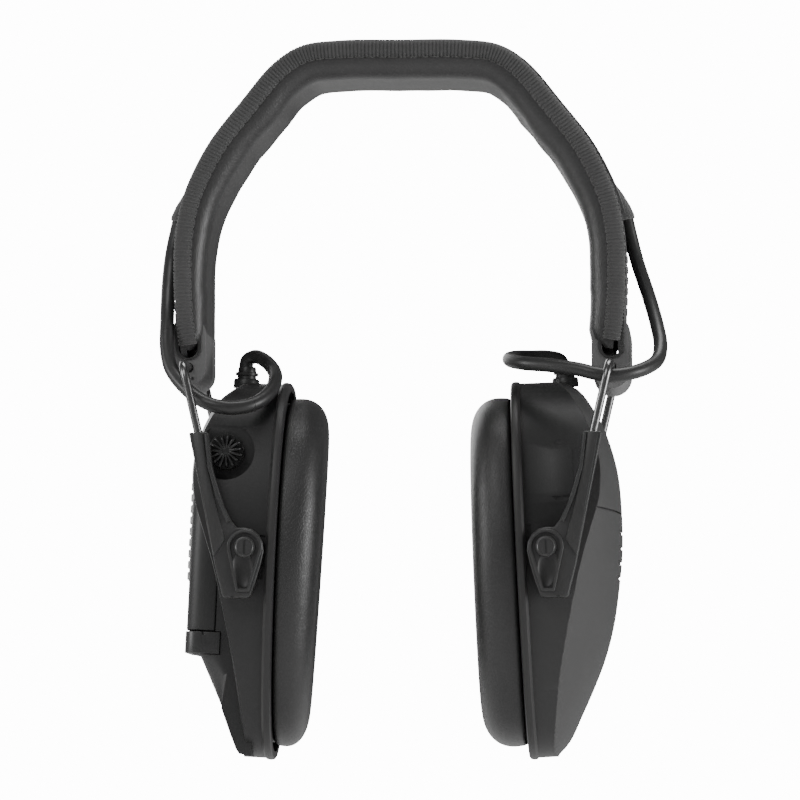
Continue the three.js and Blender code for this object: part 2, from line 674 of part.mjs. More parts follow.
// softened long edges of the battery door
function doorCorners() {

	const r = 2.5;
	const shape = new THREE.Shape();
	shape.moveTo( - door.half, 0 );
	shape.lineTo( door.half, 0 );
	shape.lineTo( door.half, door.far - r );
	shape.absarc( door.half - r, door.far - r, r, 0, Math.PI / 2, false );
	shape.absarc( r - door.half, door.far - r, r, Math.PI / 2, Math.PI, false );
	const geometry = new THREE.ExtrudeGeometry( shape, { depth: 100, bevelEnabled: false, curveSegments: 4 } );
	geometry.translate( 0, 0, - 50 );
	return geometry.applyMatrix4( new THREE.Matrix4().makeBasis(
		new THREE.Vector3( 0, - 1, 0 ), new THREE.Vector3( 1, 0, 0 ), new THREE.Vector3( 0, 0, 1 ) ) );

}

function rightCup( group ) {

	const side = 'right';
	commonCupPieces( group, side );
	putSide( group, side, 'cup_shell', rightShell(), materials.shell );
	putSide( group, side, 'outer_skin', rightSkin(), materials.soft );
	putSide( group, side, 'circuit_board', circuitBoard( - 16 ), materials.board );
	putSide( group, side, 'sound_absorber', box( [ 13.5, - 16, - 8 ], [ 18.5, 16, 30 ] ), materials.foam );
	const capsuleAt = [ gland.right - 1.5, 0, 34 ];
	putSide( group, side, 'microphone', bar( 'y', microphone.radius, - 31.5, - 27, capsuleAt, 12 ), materials.rubber );

}

function earCup( side, build ) {

	const direction = side === 'left' ? - 1 : 1;
	const tilting = new THREE.Group();
	tilting.position.set( direction * pivot.x, 0, pivot.z );
	tilting.rotation.y = - direction * THREE.MathUtils.degToRad( pivot.tilt );
	const centred = new THREE.Group();
	centred.position.set( - direction * cup.pivotU, 0, - cup.pivotW );
	tilting.add( centred );
	earmuff.add( tilting );
	build( centred );

}

// ---- assembly ----
headband();
for ( const side of [ 'left', 'right' ] ) forksAndArms( side );
earCup( 'left', leftCup );
earCup( 'right', rightCup );
put( earmuff, 'left_cable_tube', sweep( leftTubeRoute, disc( tube.radius, tube.sides ), tube.steps ), materials.rubber );
put( earmuff, 'right_cable_tube', sweep( rightTubeRoute, disc( tube.radius, tube.sides ), tube.steps ), materials.rubber );

export default earmuff;
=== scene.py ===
import bmesh
import bpy
import math
from mathutils import Matrix, Vector, noise


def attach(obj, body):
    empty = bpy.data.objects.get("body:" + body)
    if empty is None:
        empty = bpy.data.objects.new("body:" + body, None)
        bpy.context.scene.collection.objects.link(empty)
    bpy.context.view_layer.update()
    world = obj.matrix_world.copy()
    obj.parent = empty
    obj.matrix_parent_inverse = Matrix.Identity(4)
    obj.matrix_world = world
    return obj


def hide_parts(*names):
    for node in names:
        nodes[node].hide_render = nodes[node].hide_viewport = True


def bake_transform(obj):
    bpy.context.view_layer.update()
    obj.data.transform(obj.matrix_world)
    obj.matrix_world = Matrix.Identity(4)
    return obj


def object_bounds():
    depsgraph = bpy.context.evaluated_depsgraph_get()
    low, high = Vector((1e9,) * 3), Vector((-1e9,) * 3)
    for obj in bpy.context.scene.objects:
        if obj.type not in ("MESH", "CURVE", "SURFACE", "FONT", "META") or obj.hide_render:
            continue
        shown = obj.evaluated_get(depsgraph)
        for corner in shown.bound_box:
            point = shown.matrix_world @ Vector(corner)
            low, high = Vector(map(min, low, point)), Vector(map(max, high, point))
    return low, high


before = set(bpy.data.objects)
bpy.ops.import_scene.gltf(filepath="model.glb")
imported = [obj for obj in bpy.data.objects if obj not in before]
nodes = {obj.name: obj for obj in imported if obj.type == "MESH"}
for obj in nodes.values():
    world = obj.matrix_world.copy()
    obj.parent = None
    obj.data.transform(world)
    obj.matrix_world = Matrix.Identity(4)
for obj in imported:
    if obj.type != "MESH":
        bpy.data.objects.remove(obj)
cadBounds = [list(corner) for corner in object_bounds()]
mm = 0.001

# finishes


class Field:  # wraps one socket, so that shader maths reads as plain sums
    def __init__(self, tree, socket):
        self.tree, self.socket = tree, socket

    def node(self, kind, settings=None, inputs=None, output=0):
        made = self.tree.nodes.new("ShaderNode" + kind)
        for key, value in (settings or {}).items():
            if key == "stops":
                setStops(made.color_ramp, value)
            else:
                setattr(made, key, value)
        for key, value in (inputs or {}).items():
            if isinstance(value, Field):
                self.tree.links.new(value.socket, made.inputs[key])
            else:
                made.inputs[key].default_value = value
        return Field(self.tree, made.outputs[output])

    def math(self, operation, first, second):
        return self.node("Math", {"operation": operation}, {0: first, 1: second})

    def __add__(self, other): return self.math("ADD", self, other)
    def __radd__(self, other): return self.math("ADD", other, self)
    def __mul__(self, other): return self.math("MULTIPLY", self, other)
    def __rmul__(self, other): return self.math("MULTIPLY", other, self)
    def __gt__(self, other): return self.math("GREATER_THAN", self, other)


def setStops(ramp, stops):
    for place, colour in stops[2:]:
        ramp.elements.new(place)
    for element, (place, colour) in zip(ramp.elements, stops):
        element.position = place
        element.color = (*colour, 1) if len(colour) == 3 else colour


def noiseAt(place, scale, detail=2.0, rough=0.5):
    return place.node("TexNoise", None, {"Vector": place, "Scale": scale, "Detail": detail, "Roughness": rough})


def blendColour(low, high, share):
    mixed = {0: share, 6: (*low, 1), 7: (*high, 1)}
    return share.node("Mix", {"data_type": "RGBA"}, mixed, 2)


def stretched(place, scale):
    return place.node("Mapping", None, {"Vector": place, "Scale": scale})


def startMaterial(name):
    material = bpy.data.materials.new(name)
    material.use_nodes = True
    tree = material.node_tree
    place = Field(tree, tree.nodes.new("ShaderNodeTexCoord").outputs["Object"])
    return material, tree.nodes["Principled BSDF"], place


def feed(shader, values):
    for key, value in values.items():
        if isinstance(value, Field):
            value.tree.links.new(value.socket, shader.inputs[key])
        else:
            shader.inputs[key].default_value = value


def bump(height, strength, depth):
    return height.node("Bump", None, {"Height": height, "Strength": strength, "Distance": depth})


def grey(level, warm=0.0):
    return (level * (1 + warm), level, level * (1 - warm))


def mouldedPlastic(name, level, rough, grain=0.3, grainSize=2600):
    material, shader, place = startMaterial(name)
    cloud = noiseAt(place, 38, 4)
    fine = noiseAt(place, grainSize, 2, 0.6)
    dust = noiseAt(place, 420, 6, 0.7)
    feed(shader, {
        "Base Color": blendColour(grey(level * 0.86), grey(level * 1.16), cloud * 0.6 + dust * 0.4),
        "Roughness": rough - 0.06 + cloud * 0.08 + dust * 0.05,
        "Normal": bump(fine + dust * 0.3, grain, 0.00006),
        "Specular IOR Level": 0.45,
    })
    return material


def softLeather(name, level, rough, creases=0.5):
    material, shader, place = startMaterial(name)
    cells = place.node("TexVoronoi", {"feature": "DISTANCE_TO_EDGE"}, {"Vector": place, "Scale": 1150})
    pores = cells.node("ValToRGB", {"stops": [(0.0, (0, 0, 0)), (0.14, (1, 1, 1))]}, {"Fac": cells})
    cloud = noiseAt(place, 60, 5, 0.6)
    folds = noiseAt(stretched(place, (1, 1, 2.2)), 150, 4, 0.62)
    height = pores.node("SeparateColor", None, {"Color": pores}) * 0.25 + folds * creases
    feed(shader, {
        "Base Color": blendColour(grey(level * 0.8), grey(level * 1.2), cloud),
        "Roughness": rough - 0.05 + cloud * 0.12,
        "Normal": bump(height, 0.35, 0.00035),
        "Specular IOR Level": 0.5,
    })
    return material


def wovenTape(name, low, high):
    material, shader, place = startMaterial(name)
    threads = noiseAt(stretched(place, (1, 2.6, 1)), 2100, 3, 0.7)
    cloud = noiseAt(place, 90, 4)
    feed(shader, {
        "Base Color": blendColour(grey(low), grey(high), threads * 0.6 + cloud * 0.4),
        "Roughness": 0.72 + threads * 0.2,
        "Normal": bump(threads, 0.5, 0.00012),
        "Sheen Weight": 0.25,
        "Sheen Roughness": 0.4,
    })
    return material


def wovenCloth(name, low, high, pitch=0.75):  # weave follows the strip, by the place kept before it was bent
    material, shader, place = startMaterial(name)
    strip = place.node("Attribute", {"attribute_name": "stripPlace"}, None, 1)
    parts = strip.node("SeparateXYZ", None, {"Vector": strip})
    along, across = parts, Field(parts.tree, parts.socket.node.outputs[1])
    turn = 2 * math.pi / pitch
    warp = along.node("Math", {"operation": "SINE"}, {0: along * turn})
    weft = across.node("Math", {"operation": "SINE"}, {0: across * turn})
    over = warp * weft
    fuzz = noiseAt(place, 3000, 2, 0.7)
    feed(shader, {
        "Base Color": blendColour(grey(low), grey(high), over * 0.3 + fuzz * 0.6 + 0.05),
        "Roughness": 0.8 + fuzz * 0.15,
        "Normal": bump(over * 0.6 + fuzz * 0.4, 0.6, 0.00015),
        "Sheen Weight": 0.2,
    })
    return material


def drawnSteel(name, level):
    material, shader, place = startMaterial(name)
    streaks = noiseAt(stretched(place, (1, 1, 0.05)), 2400, 3, 0.6)
    cloud = noiseAt(place, 120, 4)
    feed(shader, {
        "Base Color": blendColour(grey(level * 0.7), grey(level * 1.15), cloud * 0.5 + streaks * 0.5),
        "Metallic": 1.0,
        "Roughness": 0.2 + streaks * 0.16,
        "Normal": bump(streaks, 0.12, 0.00005),
    })
    return material


def cellFoam(name, level):
    material, shader, place = startMaterial(name)
    cells = place.node("TexVoronoi", None, {"Vector": place, "Scale": 900})
    feed(shader, {
        "Base Color": blendColour(grey(level * 0.4), grey(level * 1.6), cells),
        "Roughness": 0.95,
        "Normal": bump(cells, 0.9, 0.0004),
    })
    return material


def coatedBoard(name):
    material, shader, place = startMaterial(name)
    lanes = place.node("TexBrick", {"offset": 0.3}, {"Vector": place, "Scale": 90, "Mortar Size": 0.03}, 1)
    cloud = noiseAt(place, 300, 2)
    feed(shader, {
        "Base Color": blendColour((0.012, 0.075, 0.03), (0.035, 0.16, 0.06), lanes * 0.7 + cloud * 0.3),
        "Roughness": 0.3 + cloud * 0.2,
        "Normal": bump(lanes, 0.3, 0.0001),
    })
    return material


def batterySleeve(name):
    material, shader, place = startMaterial(name)
    parts = place.node("SeparateXYZ", None, {"Vector": place}, 2)
    cap = parts > -0.131
    cloud = noiseAt(place, 200, 3)
    feed(shader, {
        "Base Color": blendColour((0.02, 0.02, 0.021), (0.5, 0.27, 0.08), cap),
        "Metallic": 0.5 + cap * 0.3,
        "Roughness": 0.28 + cloud * 0.1,
    })
    return material


plasticArm = mouldedPlastic("arm plastic", 0.03, 0.42, 0.3)
plasticShell = mouldedPlastic("shell plastic", 0.022, 0.46, 0.35)
plasticFace = mouldedPlastic("soft touch face", 0.052, 0.58, 0.4, 1800)
plasticPin = mouldedPlastic("pin plastic", 0.034, 0.36, 0.2)
plasticKnob = mouldedPlastic("knob plastic", 0.02, 0.3, 0.2)
nylonBracket = mouldedPlastic("bracket nylon", 0.13, 0.5, 0.5, 1500)
panelInsert = mouldedPlastic("ribbed insert", 0.38, 0.55, 0.3)
tubeRubber = mouldedPlastic("tube rubber", 0.024, 0.4, 0.2, 1400)
padLeather = softLeather("pad leather", 0.034, 0.38, 0.7)
cushionLeather = softLeather("cushion leather", 0.026, 0.4, 0.25)
edgeTape = wovenTape("edge tape", 0.03, 0.085)
coverCloth = wovenCloth("cover cloth", 0.025, 0.06)
stripCloth = wovenCloth("strip cloth", 0.03, 0.075, 0.9)
stitchThread = wovenTape("stitch thread", 0.05, 0.1)
springSteel = drawnSteel("spring steel", 0.2)
plainSteel = drawnSteel("plain steel", 0.6)
earFoam = cellFoam("ear foam", 0.02)
greenBoard = coatedBoard("green board")
cellSleeve = batterySleeve("cell sleeve")

# modelling helpers


def deselectAll():
    if bpy.context.object and bpy.context.object.mode != "OBJECT":
        bpy.ops.object.mode_set(mode="OBJECT")
    bpy.ops.object.select_all(action="DESELECT")


def pick(obj):
    deselectAll()
    obj.select_set(True)
    bpy.context.view_layer.objects.active = obj


def named(name):
    obj = bpy.context.object
    bpy.ops.object.transform_apply(location=True, rotation=True, scale=True)
    obj.name = name
    return obj


def block(name, low, high):  # a box between two corners, in mm
    deselectAll()
    centre = [(a + b) / 2 * mm for a, b in zip(low, high)]
    bpy.ops.mesh.primitive_cube_add(size=1, location=centre, scale=[(b - a) * mm for a, b in zip(low, high)])
    return named(name)


def rod(name, radius, low, high, place=(0, 0), axis="z", sides=48):  # place: the two other coordinates
    deselectAll()
    middle = (low + high) / 2
    spot = {"x": (middle, *place), "y": (place[0], middle, place[1]), "z": (*place, middle)}[axis]
    turn = {"x": (0, math.pi / 2, 0), "y": (math.pi / 2, 0, 0), "z": (0, 0, 0)}[axis]
    bpy.ops.mesh.primitive_cylinder_add(vertices=sides, radius=radius * mm, depth=(high - low) * mm,
                                        location=[c * mm for c in spot], rotation=turn)
    return named(name)


def selectParts(obj, kind, test):  # edit mode with the edges or faces that pass the test, in mm
    pick(obj)
    bpy.ops.object.mode_set(mode="EDIT")
    bpy.ops.mesh.select_mode(type=kind)
    bpy.ops.mesh.select_all(action="DESELECT")
    mesh = bmesh.from_edit_mesh(obj.data)
    if kind == "EDGE":
        for edge in mesh.edges:
            edge.select_set(test(*(v.co / mm for v in edge.verts)))
    else:
        for face in mesh.faces:
            face.select_set(test(face.calc_center_median() / mm, face.normal))
    mesh.select_flush_mode()
    bmesh.update_edit_mesh(obj.data)


def leaveEdit():
    bpy.ops.object.mode_set(mode="OBJECT")


def roundEdges(obj, width, segments, test):
    selectParts(obj, "EDGE", test)
    bpy.ops.mesh.bevel(offset=width * mm, segments=segments, profile=0.5)
    leaveEdit()


def modify(obj, kind, **settings):
    pick(obj)
    modifier = obj.modifiers.new(kind.lower(), kind)
    for key, value in settings.items():
        setattr(modifier, key, value)
    bpy.ops.object.modifier_apply(modifier=modifier.name)
    return obj


def soften(obj, width, segments=3, angle=35):
    return modify(obj, "BEVEL", width=width * mm, segments=segments, limit_method="ANGLE",
                  angle_limit=math.radians(angle), harden_normals=False)


def carve(obj, *tools, operation="DIFFERENCE"):
    for tool in tools:
        modify(obj, "BOOLEAN", operation=operation, object=tool, solver="EXACT")
        bpy.data.objects.remove(tool)
    return obj


def weld(obj, *others):
    return carve(obj, *others, operation="UNION")


def merge(objects, name):  # several meshes in one object, without joining their surfaces
    pick(objects[0])
    for other in objects:
        other.select_set(True)
    bpy.ops.object.join()
    bpy.context.object.name = name
    return bpy.context.object


def duplicate(obj, name):
    copy = obj.copy()
    copy.data = obj.data.copy()
    copy.name = name
    bpy.context.collection.objects.link(copy)
    return copy


def faceOut(obj):
    pick(obj)
    bpy.ops.object.mode_set(mode="EDIT")
    bpy.ops.mesh.select_all(action="SELECT")
    bpy.ops.mesh.remove_doubles(threshold=0.00001)
    bpy.ops.mesh.normals_make_consistent(inside=False)
    leaveEdit()


def moveBy(obj, matrix):
    pick(obj)
    obj.matrix_world = matrix
    bpy.ops.object.transform_apply(location=True, rotation=True, scale=True)
    if matrix.determinant() < 0:
        faceOut(obj)
    return obj


def finished(obj, material, body, slot, *stoodFor, angle=32):
    pick(obj)
    if angle:
        bpy.ops.object.shade_smooth_by_angle(angle=math.radians(angle))
    obj.data.materials.clear()
    obj.data.materials.append(material)
    if body:
        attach(obj, body)
    if stoodFor:
        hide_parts(*stoodFor)
    return obj


def plate(name, outline, low, high):  # outline in X and Z, thick along Y
    deselectAll()
    bpy.ops.mesh.primitive_circle_add(vertices=len(outline), radius=1, fill_type="NGON")
    obj = named(name)
    for vertex, (x, z) in zip(obj.data.vertices, outline):
        vertex.co = (x * mm, low * mm, z * mm)
    pick(obj)
    bpy.ops.object.mode_set(mode="EDIT")
    bpy.ops.mesh.select_all(action="SELECT")
    bpy.ops.mesh.extrude_region_move(TRANSFORM_OT_translate={"value": (0, (high - low) * mm, 0)})
    leaveEdit()
    faceOut(obj)
    return obj


def raised(name, ringShape, steps):  # a ring pulled up in steps of (height, width, depth, shift)
    deselectAll()
    bpy.ops.mesh.primitive_circle_add(vertices=len(ringShape), radius=1, fill_type="NGON")
    obj = named(name)
    height, width, depth, shift = steps[0]
    for vertex, (x, y) in zip(obj.data.vertices, ringShape):
        vertex.co = Vector((x * width, y * depth + shift, height)) * mm
    pick(obj)
    bpy.ops.object.mode_set(mode="EDIT")
    bpy.ops.mesh.select_all(action="SELECT")
    for newHeight, newWidth, newDepth, newShift in steps[1:]:
        rise = (0, (newShift - shift) * mm, (newHeight - height) * mm)
        bpy.ops.mesh.extrude_region_move(TRANSFORM_OT_translate={"value": rise})
        bpy.ops.transform.resize(value=(newWidth / width, newDepth / depth, 1),
                                 center_override=(0, newShift * mm, newHeight * mm))
        height, width, depth, shift = newHeight, newWidth, newDepth, newShift
    leaveEdit()
    faceOut(obj)
    return obj


def turned(name, steps, sides=48):  # a turned piece standing on +Z: (height, radius)
    circle = [(math.cos(2 * math.pi * i / sides), math.sin(2 * math.pi * i / sides)) for i in range(sides)]
    return raised(name, circle, [(h, r, r, 0) for h, r in steps])


def smoothLine(points, steps=10):  # an even curve through points of any size
    spots = [Vector(p) for p in points]
    spots = [spots[0] * 2 - spots[1], *spots, spots[-1] * 2 - spots[-2]]
    line = []
    for p0, p1, p2, p3 in zip(spots, spots[1:], spots[2:], spots[3:]):
        a, b, c = ((q - p).length ** 0.5 for p, q in ((p0, p1), (p1, p2), (p2, p3)))
        leave = ((p1 - p0) / a - (p2 - p0) / (a + b) + (p2 - p1) / b) * b
        reach = ((p2 - p1) / b - (p3 - p1) / (b + c) + (p3 - p2) / c) * b
        for i in range(steps):
            t = i / steps
            line.append(p1 * (2 * t**3 - 3 * t**2 + 1) + leave * (t**3 - 2 * t**2 + t)
                        + p2 * (3 * t**2 - 2 * t**3) + reach * (t**3 - t**2))
    line.append(spots[-2])
    return line


def lineLength(line):
    return sum((b - a).length for a, b in zip(line, line[1:]))


def curveThrough(name, line, radius=0.0, sides=6):  # line in metres
    curve = bpy.data.curves.new(name, "CURVE")
    curve.dimensions = "3D"
    curve.twist_mode = "MINIMUM"
    spline = curve.splines.new("POLY")
    spline.points.add(len(line) - 1)
    for point, spot in zip(spline.points, line):
        point.co = (*spot, 1)
    curve.bevel_depth = radius
    curve.bevel_resolution = sides
    curve.use_fill_caps = radius > 0
    obj = bpy.data.objects.new(name, curve)
    bpy.context.collection.objects.link(obj)
    return obj


def roundWire(name, line, radius, sides=6):
    obj = curveThrough(name, line, radius, sides)
    pick(obj)
    bpy.ops.object.convert(target="MESH")
    obj = bpy.context.object
    faceOut(obj)
    return obj


# camera, lights and floor

studio = {"target": (-0.75, 0, -94), "distance": 1900, "turn": 3.0, "rise": -4.0, "lens": 285,
          "floorDrop": 130, "backdrop": 14.0, "room": 0.17, "aim": (0, 0, -0.1)}
lamps = {  # place in metres, size, power
    "key": ((-0.6, -1.4, 0.9), 0.7, 8), "left": ((-1.5, -0.4, 0.2), 0.6, 10), "right": ((1.5, -0.5, 0.0), 0.6, 17),
    "top": ((0.1, 0.2, 1.4), 0.8, 17), "rear": ((-0.6, 1.2, 0.3), 0.8, 6),
}


def addCamera():
    turn, rise = math.radians(studio["turn"]), math.radians(studio["rise"])
    away = Vector((math.sin(turn) * math.cos(rise), -math.cos(turn) * math.cos(rise), math.sin(rise)))
    spot = Vector(studio["target"]) * mm + away * studio["distance"] * mm
    bpy.ops.object.camera_add(location=spot, rotation=(-away).to_track_quat("-Z", "Y").to_euler())
    camera = bpy.context.object
    camera.data.lens = studio["lens"]
    camera.data.clip_end = 20
    bpy.context.scene.camera = camera


def addLight(name, spot, size, power):
    bpy.ops.object.light_add(type="AREA", location=spot)
    light = bpy.context.object
    light.name = name
    light.data.size = size
    light.data.energy = power
    light.rotation_euler = (Vector(studio["aim"]) - Vector(spot)).to_track_quat("-Z", "Y").to_euler()


def addStudio():
    deselectAll()
    addCamera()
    for name, settings in lamps.items():
        addLight(name, *settings)
    world = bpy.data.worlds.new("studio")
    world.use_nodes = True
    tree = world.node_tree
    seen = Field(tree, tree.nodes.new("ShaderNodeLightPath").outputs["Is Camera Ray"])
    strength = seen * (studio["backdrop"] - studio["room"]) + studio["room"]
    tree.links.new(strength.socket, tree.nodes["Background"].inputs["Strength"])
    tree.nodes["Background"].inputs["Color"].default_value = (1, 1, 1, 1)
    bpy.context.scene.world = world
    deselectAll()
    level = cadBounds[0][2] - studio["floorDrop"] * mm
    bpy.ops.mesh.primitive_plane_add(size=8, location=(0, 0, level))
    floor = named("floor")
    material, shader, place = startMaterial("pale floor")
    feed(shader, {"Base Color": blendColour((0.83, 0.83, 0.83), (0.87, 0.87, 0.87), noiseAt(place, 6, 3)),
                  "Roughness": 0.7})
    floor.data.materials.append(material)


addStudio()
print("studio ready")

# cable tubes

tube = {"diameter": 4.2, "step": 10}
leftRoute = [
    (-66.6, 0, -36.5), (-67.6, -0.3, -41), (-69.2, -3, -50), (-69.6, -10, -60), (-69.2, -19, -71.5),
    (-69.0, -22.5, -79.5), (-67.4, -25.6, -86.2), (-63.4, -29, -91.6), (-58, -33, -96), (-53.8, -34.4, -97.8),
    (-48.2, -34, -98.5), (-42.4, -31.4, -97.2), (-38.2, -26, -93.6), (-36.9, -19, -89.2), (-37.9, -12, -85.8),
    (-41, -5.6, -82.4), (-44.4, -1.2, -80.9), (-46.7, 0, -82), (-47.1, 0, -84.6),
]
rightRoute = [
    (66.6, 0, -36.5), (67.6, -0.2, -41), (70.4, -1, -52.4), (74, -5, -63.6), (76.5, -11, -72.7), (77.6, -17, -79.2),
    (76.8, -22.5, -83.8), (74, -27.5, -86.4), (69.3, -31.8, -88.4), (63.2, -34, -89.3), (58.4, -34.4, -88.7),
    (53.5, -33, -87.4), (44.8, -29, -85.9), (37.8, -24.5, -85), (33.6, -18, -83.8), (32.6, -12, -82.6),
    (34.6, -6.8, -81.8), (38.8, -3, -81.5), (43.6, -1, -81.4), (47.2, 0, -82.2), (48.5, 0, -84.7),
]


def cableTube(side, route):  # three equal lengths end to end
    line = smoothLine([Vector(p) * mm for p in route], tube["step"])
    third = lineLength(line) / 3
    cuts, run = [0], 0.0
    for i, (a, b) in enumerate(zip(line, line[1:])):
        run += (b - a).length
        if len(cuts) < 3 and run >= third * len(cuts):
            cuts.append(i + 1)
    cuts.append(len(line) - 1)
    bodies = ("headband", side + "_fork", side + "_arms", side + "_cup")
    for i, part in enumerate(("upper", "middle", "lower")):
        path = line[cuts[i]:cuts[i + 1] + 1]
        obj = roundWire(f"{side}_tube_{part}", path, tube["diameter"] / 2 * mm, 8)
        finished(obj, tubeRubber, None, "rubber", side + "_cable_tube", angle=60)
        bodies[i + 1]
        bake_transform(obj)
        lineLength(path)


cableTube("left", leftRoute)
cableTube("right", rightRoute)
print("cable tubes ready")

# headband

band = {"slices": 170}
bandHalf = [
    (65.2, -79), (66.4, -70), (66.9, -58), (66.6, -47), (64.6, -36), (60.8, -26.5), (55.8, -17.5),
    (46.8, -6), (37.3, 5.2), (29.2, 10.3), (18, 11.8), (0, 11.9),
]
bandPoints = [(-x, 0, z) for x, z in bandHalf] + [(x, 0, z) for x, z in reversed(bandHalf[:-1])]
bandLine = smoothLine([Vector(p) * mm for p in bandPoints], 12)
bandLength = lineLength(bandLine) / mm
bandCurve = curveThrough("band line", bandLine)


def heightPlace(height):  # how far along the band its line first reaches this height, in mm
    run = 0.0
    for a, b in zip(bandLine, bandLine[1:]):
        if b.z >= height * mm:
            return run / mm
        run += (b - a).length


def slice(obj, cuts):  # cuts across a straight strip, all along it
    selectParts(obj, "EDGE", lambda a, b: abs(a.x - b.x) > 3 * max(abs(a.y - b.y), abs(a.z - b.z)))
    bpy.ops.mesh.subdivide(number_cuts=cuts)
    leaveEdit()


def bendToBand(obj):  # straight strips run along +X, with +Y the front and +Z the inside of the band
    kept = obj.data.attributes.new("stripPlace", "FLOAT_VECTOR", "POINT")
    for item, vertex in zip(kept.data, obj.data.vertices):
        item.vector = vertex.co / mm
    modify(obj, "CURVE", object=bandCurve, deform_axis="POS_X")
    faceOut(obj)
    return obj


pad = {"half": 20.4, "top": 1.2, "bottom": 11.0, "thin": (2.8, 1.3), "flare": 1.9, "thinFrom": 62,
       "round": 5.8, "nose": 6.5, "beyond": 1.8, "wrinkle": 0.7, "across": 14}
cover = {"half": 19.8, "thick": 1.5, "beyond": 4.5, "hollow": 0.5, "nose": 7, "flareFrom": 20, "across": 12}
binding = {"inner": 17.2, "outer": 22.0, "top": -0.05, "bottom": 4.7, "rib": 1.12, "relief": 0.3, "round": 1.7}
stitches = {"pitch": 3.2, "long": 2.3, "radius": 0.26, "start": 1.0, "inner": 20.5, "outer": 16.4}
strip = {"half": 13, "low": -1.3, "high": 0.0, "top": -40, "tip": 5.0, "taper": 13, "bulge": 0.5,
         "slices": 140, "across": 10}
folds = {"corner": 38, "cornerWide": 8, "end": -68, "endWide": 12, "still": 0.3, "atCorner": 1.3, "atEnd": 1.2}
flapSteps = [(-15, 0.5), (-12, 1.1), (-8, 2.0), (-4, 2.8), (-1.2, 3.35), (-0.3, 3.3), (0, 2.8)]
flap = {"hole": 2.2, "wide": 1.9, "mouthWide": 1.5, "mouth": -3, "sink": 1.0, "slope": 0.06}


def wrinkles(place):  # folds bunch up where the band turns most, and near its ends
    corner = math.exp(-((abs(place.x) / mm - folds["corner"]) / folds["cornerWide"]) ** 2)
    end = math.exp(-((place.z / mm - folds["end"]) / folds["endWide"]) ** 2)
    wave = noise.noise(Vector((place.x * 150, place.y * 22, place.z * 150)))
    fine = noise.noise(Vector((place.x * 380 + 5, place.y * 60, place.z * 380)))
    return (folds["still"] + folds["atCorner"] * corner + folds["atEnd"] * end) * (wave + 0.35 * fine)


def roundNose(share):  # grows from 0 to 1 as a quarter circle does
    share = min(1.0, max(0.0, share))
    return math.sqrt(share * (2 - share))


def makePad():
    p = pad
    length = bandLength + p["beyond"]
    obj = block("headband_padding", (-p["beyond"], -p["half"], p["top"]), (length, p["half"], p["bottom"]))
    inner = p["bottom"] - 0.1
    roundEdges(obj, p["round"], 7, lambda a, b: min(a.z, b.z) > inner and abs(a.x - b.x) > 50)
    slice(obj, band["slices"] * 2)
    selectParts(obj, "EDGE", lambda a, b: abs(a.y - b.y) > 20)
    bpy.ops.mesh.subdivide(number_cuts=p["across"])
    leaveEdit()
    full = p["bottom"] - p["top"]
    for vertex in obj.data.vertices:
        x, y, z = vertex.co / mm
        fromEnd = min(x + p["beyond"], length - x)
        nose = roundNose(fromEnd / p["nose"])
        thin = p["thin"][x > bandLength / 2] * max(0.0, 1 - fromEnd / p["thinFrom"])
        share = (1 - thin / full) * (0.3 + 0.7 * nose)
        vertex.co = Vector((x, y * (0.93 + 0.07 * nose), p["top"] + (z - p["top"]) * share)) * mm
    bendToBand(obj)
    centre = Vector((0, 0, -0.05))
    for vertex in obj.data.vertices:
        inward = (centre - Vector((vertex.co.x, 0, vertex.co.z))).normalized()
        share = max(0.0, 1 - abs(vertex.co.y) / (p["half"] * mm)) * 0.4 + 0.6
        vertex.co -= inward * (wrinkles(vertex.co) * p["wrinkle"] * share * mm)
    modify(obj, "SMOOTH", factor=0.5, iterations=1)
    finished(obj, padLeather, "headband", "leather", "headband_pad", angle=60)


def makeBinding(side, name, node):
    wide, tall = binding["outer"] - binding["inner"], binding["bottom"] - binding["top"]
    centre = (0, (binding["inner"] + wide / 2) * mm, (binding["top"] + tall / 2) * mm)
    rib = binding["rib"]
    deselectAll()
    bpy.ops.mesh.primitive_plane_add(size=1, rotation=(0, math.pi / 2, 0), location=centre)
    obj = named(name)
    pick(obj)
    bpy.ops.object.mode_set(mode="EDIT")
    bpy.ops.mesh.select_all(action="SELECT")
    bpy.ops.transform.resize(value=(1, wide * mm, tall * mm), center_override=centre)
    bpy.ops.mesh.bevel(offset=binding["round"] * mm, segments=4, affect="VERTICES")
    swell = 1 + 2 * binding["relief"] / wide
    for share, scale in ((0.25, swell), (0.35, 1.0), (0.25, 1 / swell), (0.15, 1.0)):
        bpy.ops.mesh.extrude_region_move(TRANSFORM_OT_translate={"value": (rib * share * mm, 0, 0)})
        bpy.ops.transform.resize(value=(1, scale, scale), center_override=centre)
    leaveEdit()
    selectParts(obj, "FACE", lambda c, n: abs(n.x) > 0.95 and (c.x < 0.01 or c.x > rib - 0.01))
    bpy.ops.mesh.delete(type="ONLY_FACE")
    leaveEdit()
    count = int(bandLength / rib)
    modify(obj, "ARRAY", count=count, use_relative_offset=False, use_constant_offset=True,
           constant_offset_displace=(rib * mm, 0, 0), use_merge_vertices=True, merge_threshold=0.00002)
    selectParts(obj, "EDGE", lambda a, b: abs(a.x - b.x) < 0.01 and (a.x < 0.02 or a.x > rib * count - 0.02))
    bpy.ops.mesh.edge_face_add()
    leaveEdit()
    for vertex in obj.data.vertices:
        vertex.co.y *= side
    bendToBand(obj)
    finished(obj, edgeTape, "headband", "tape", node, angle=60)


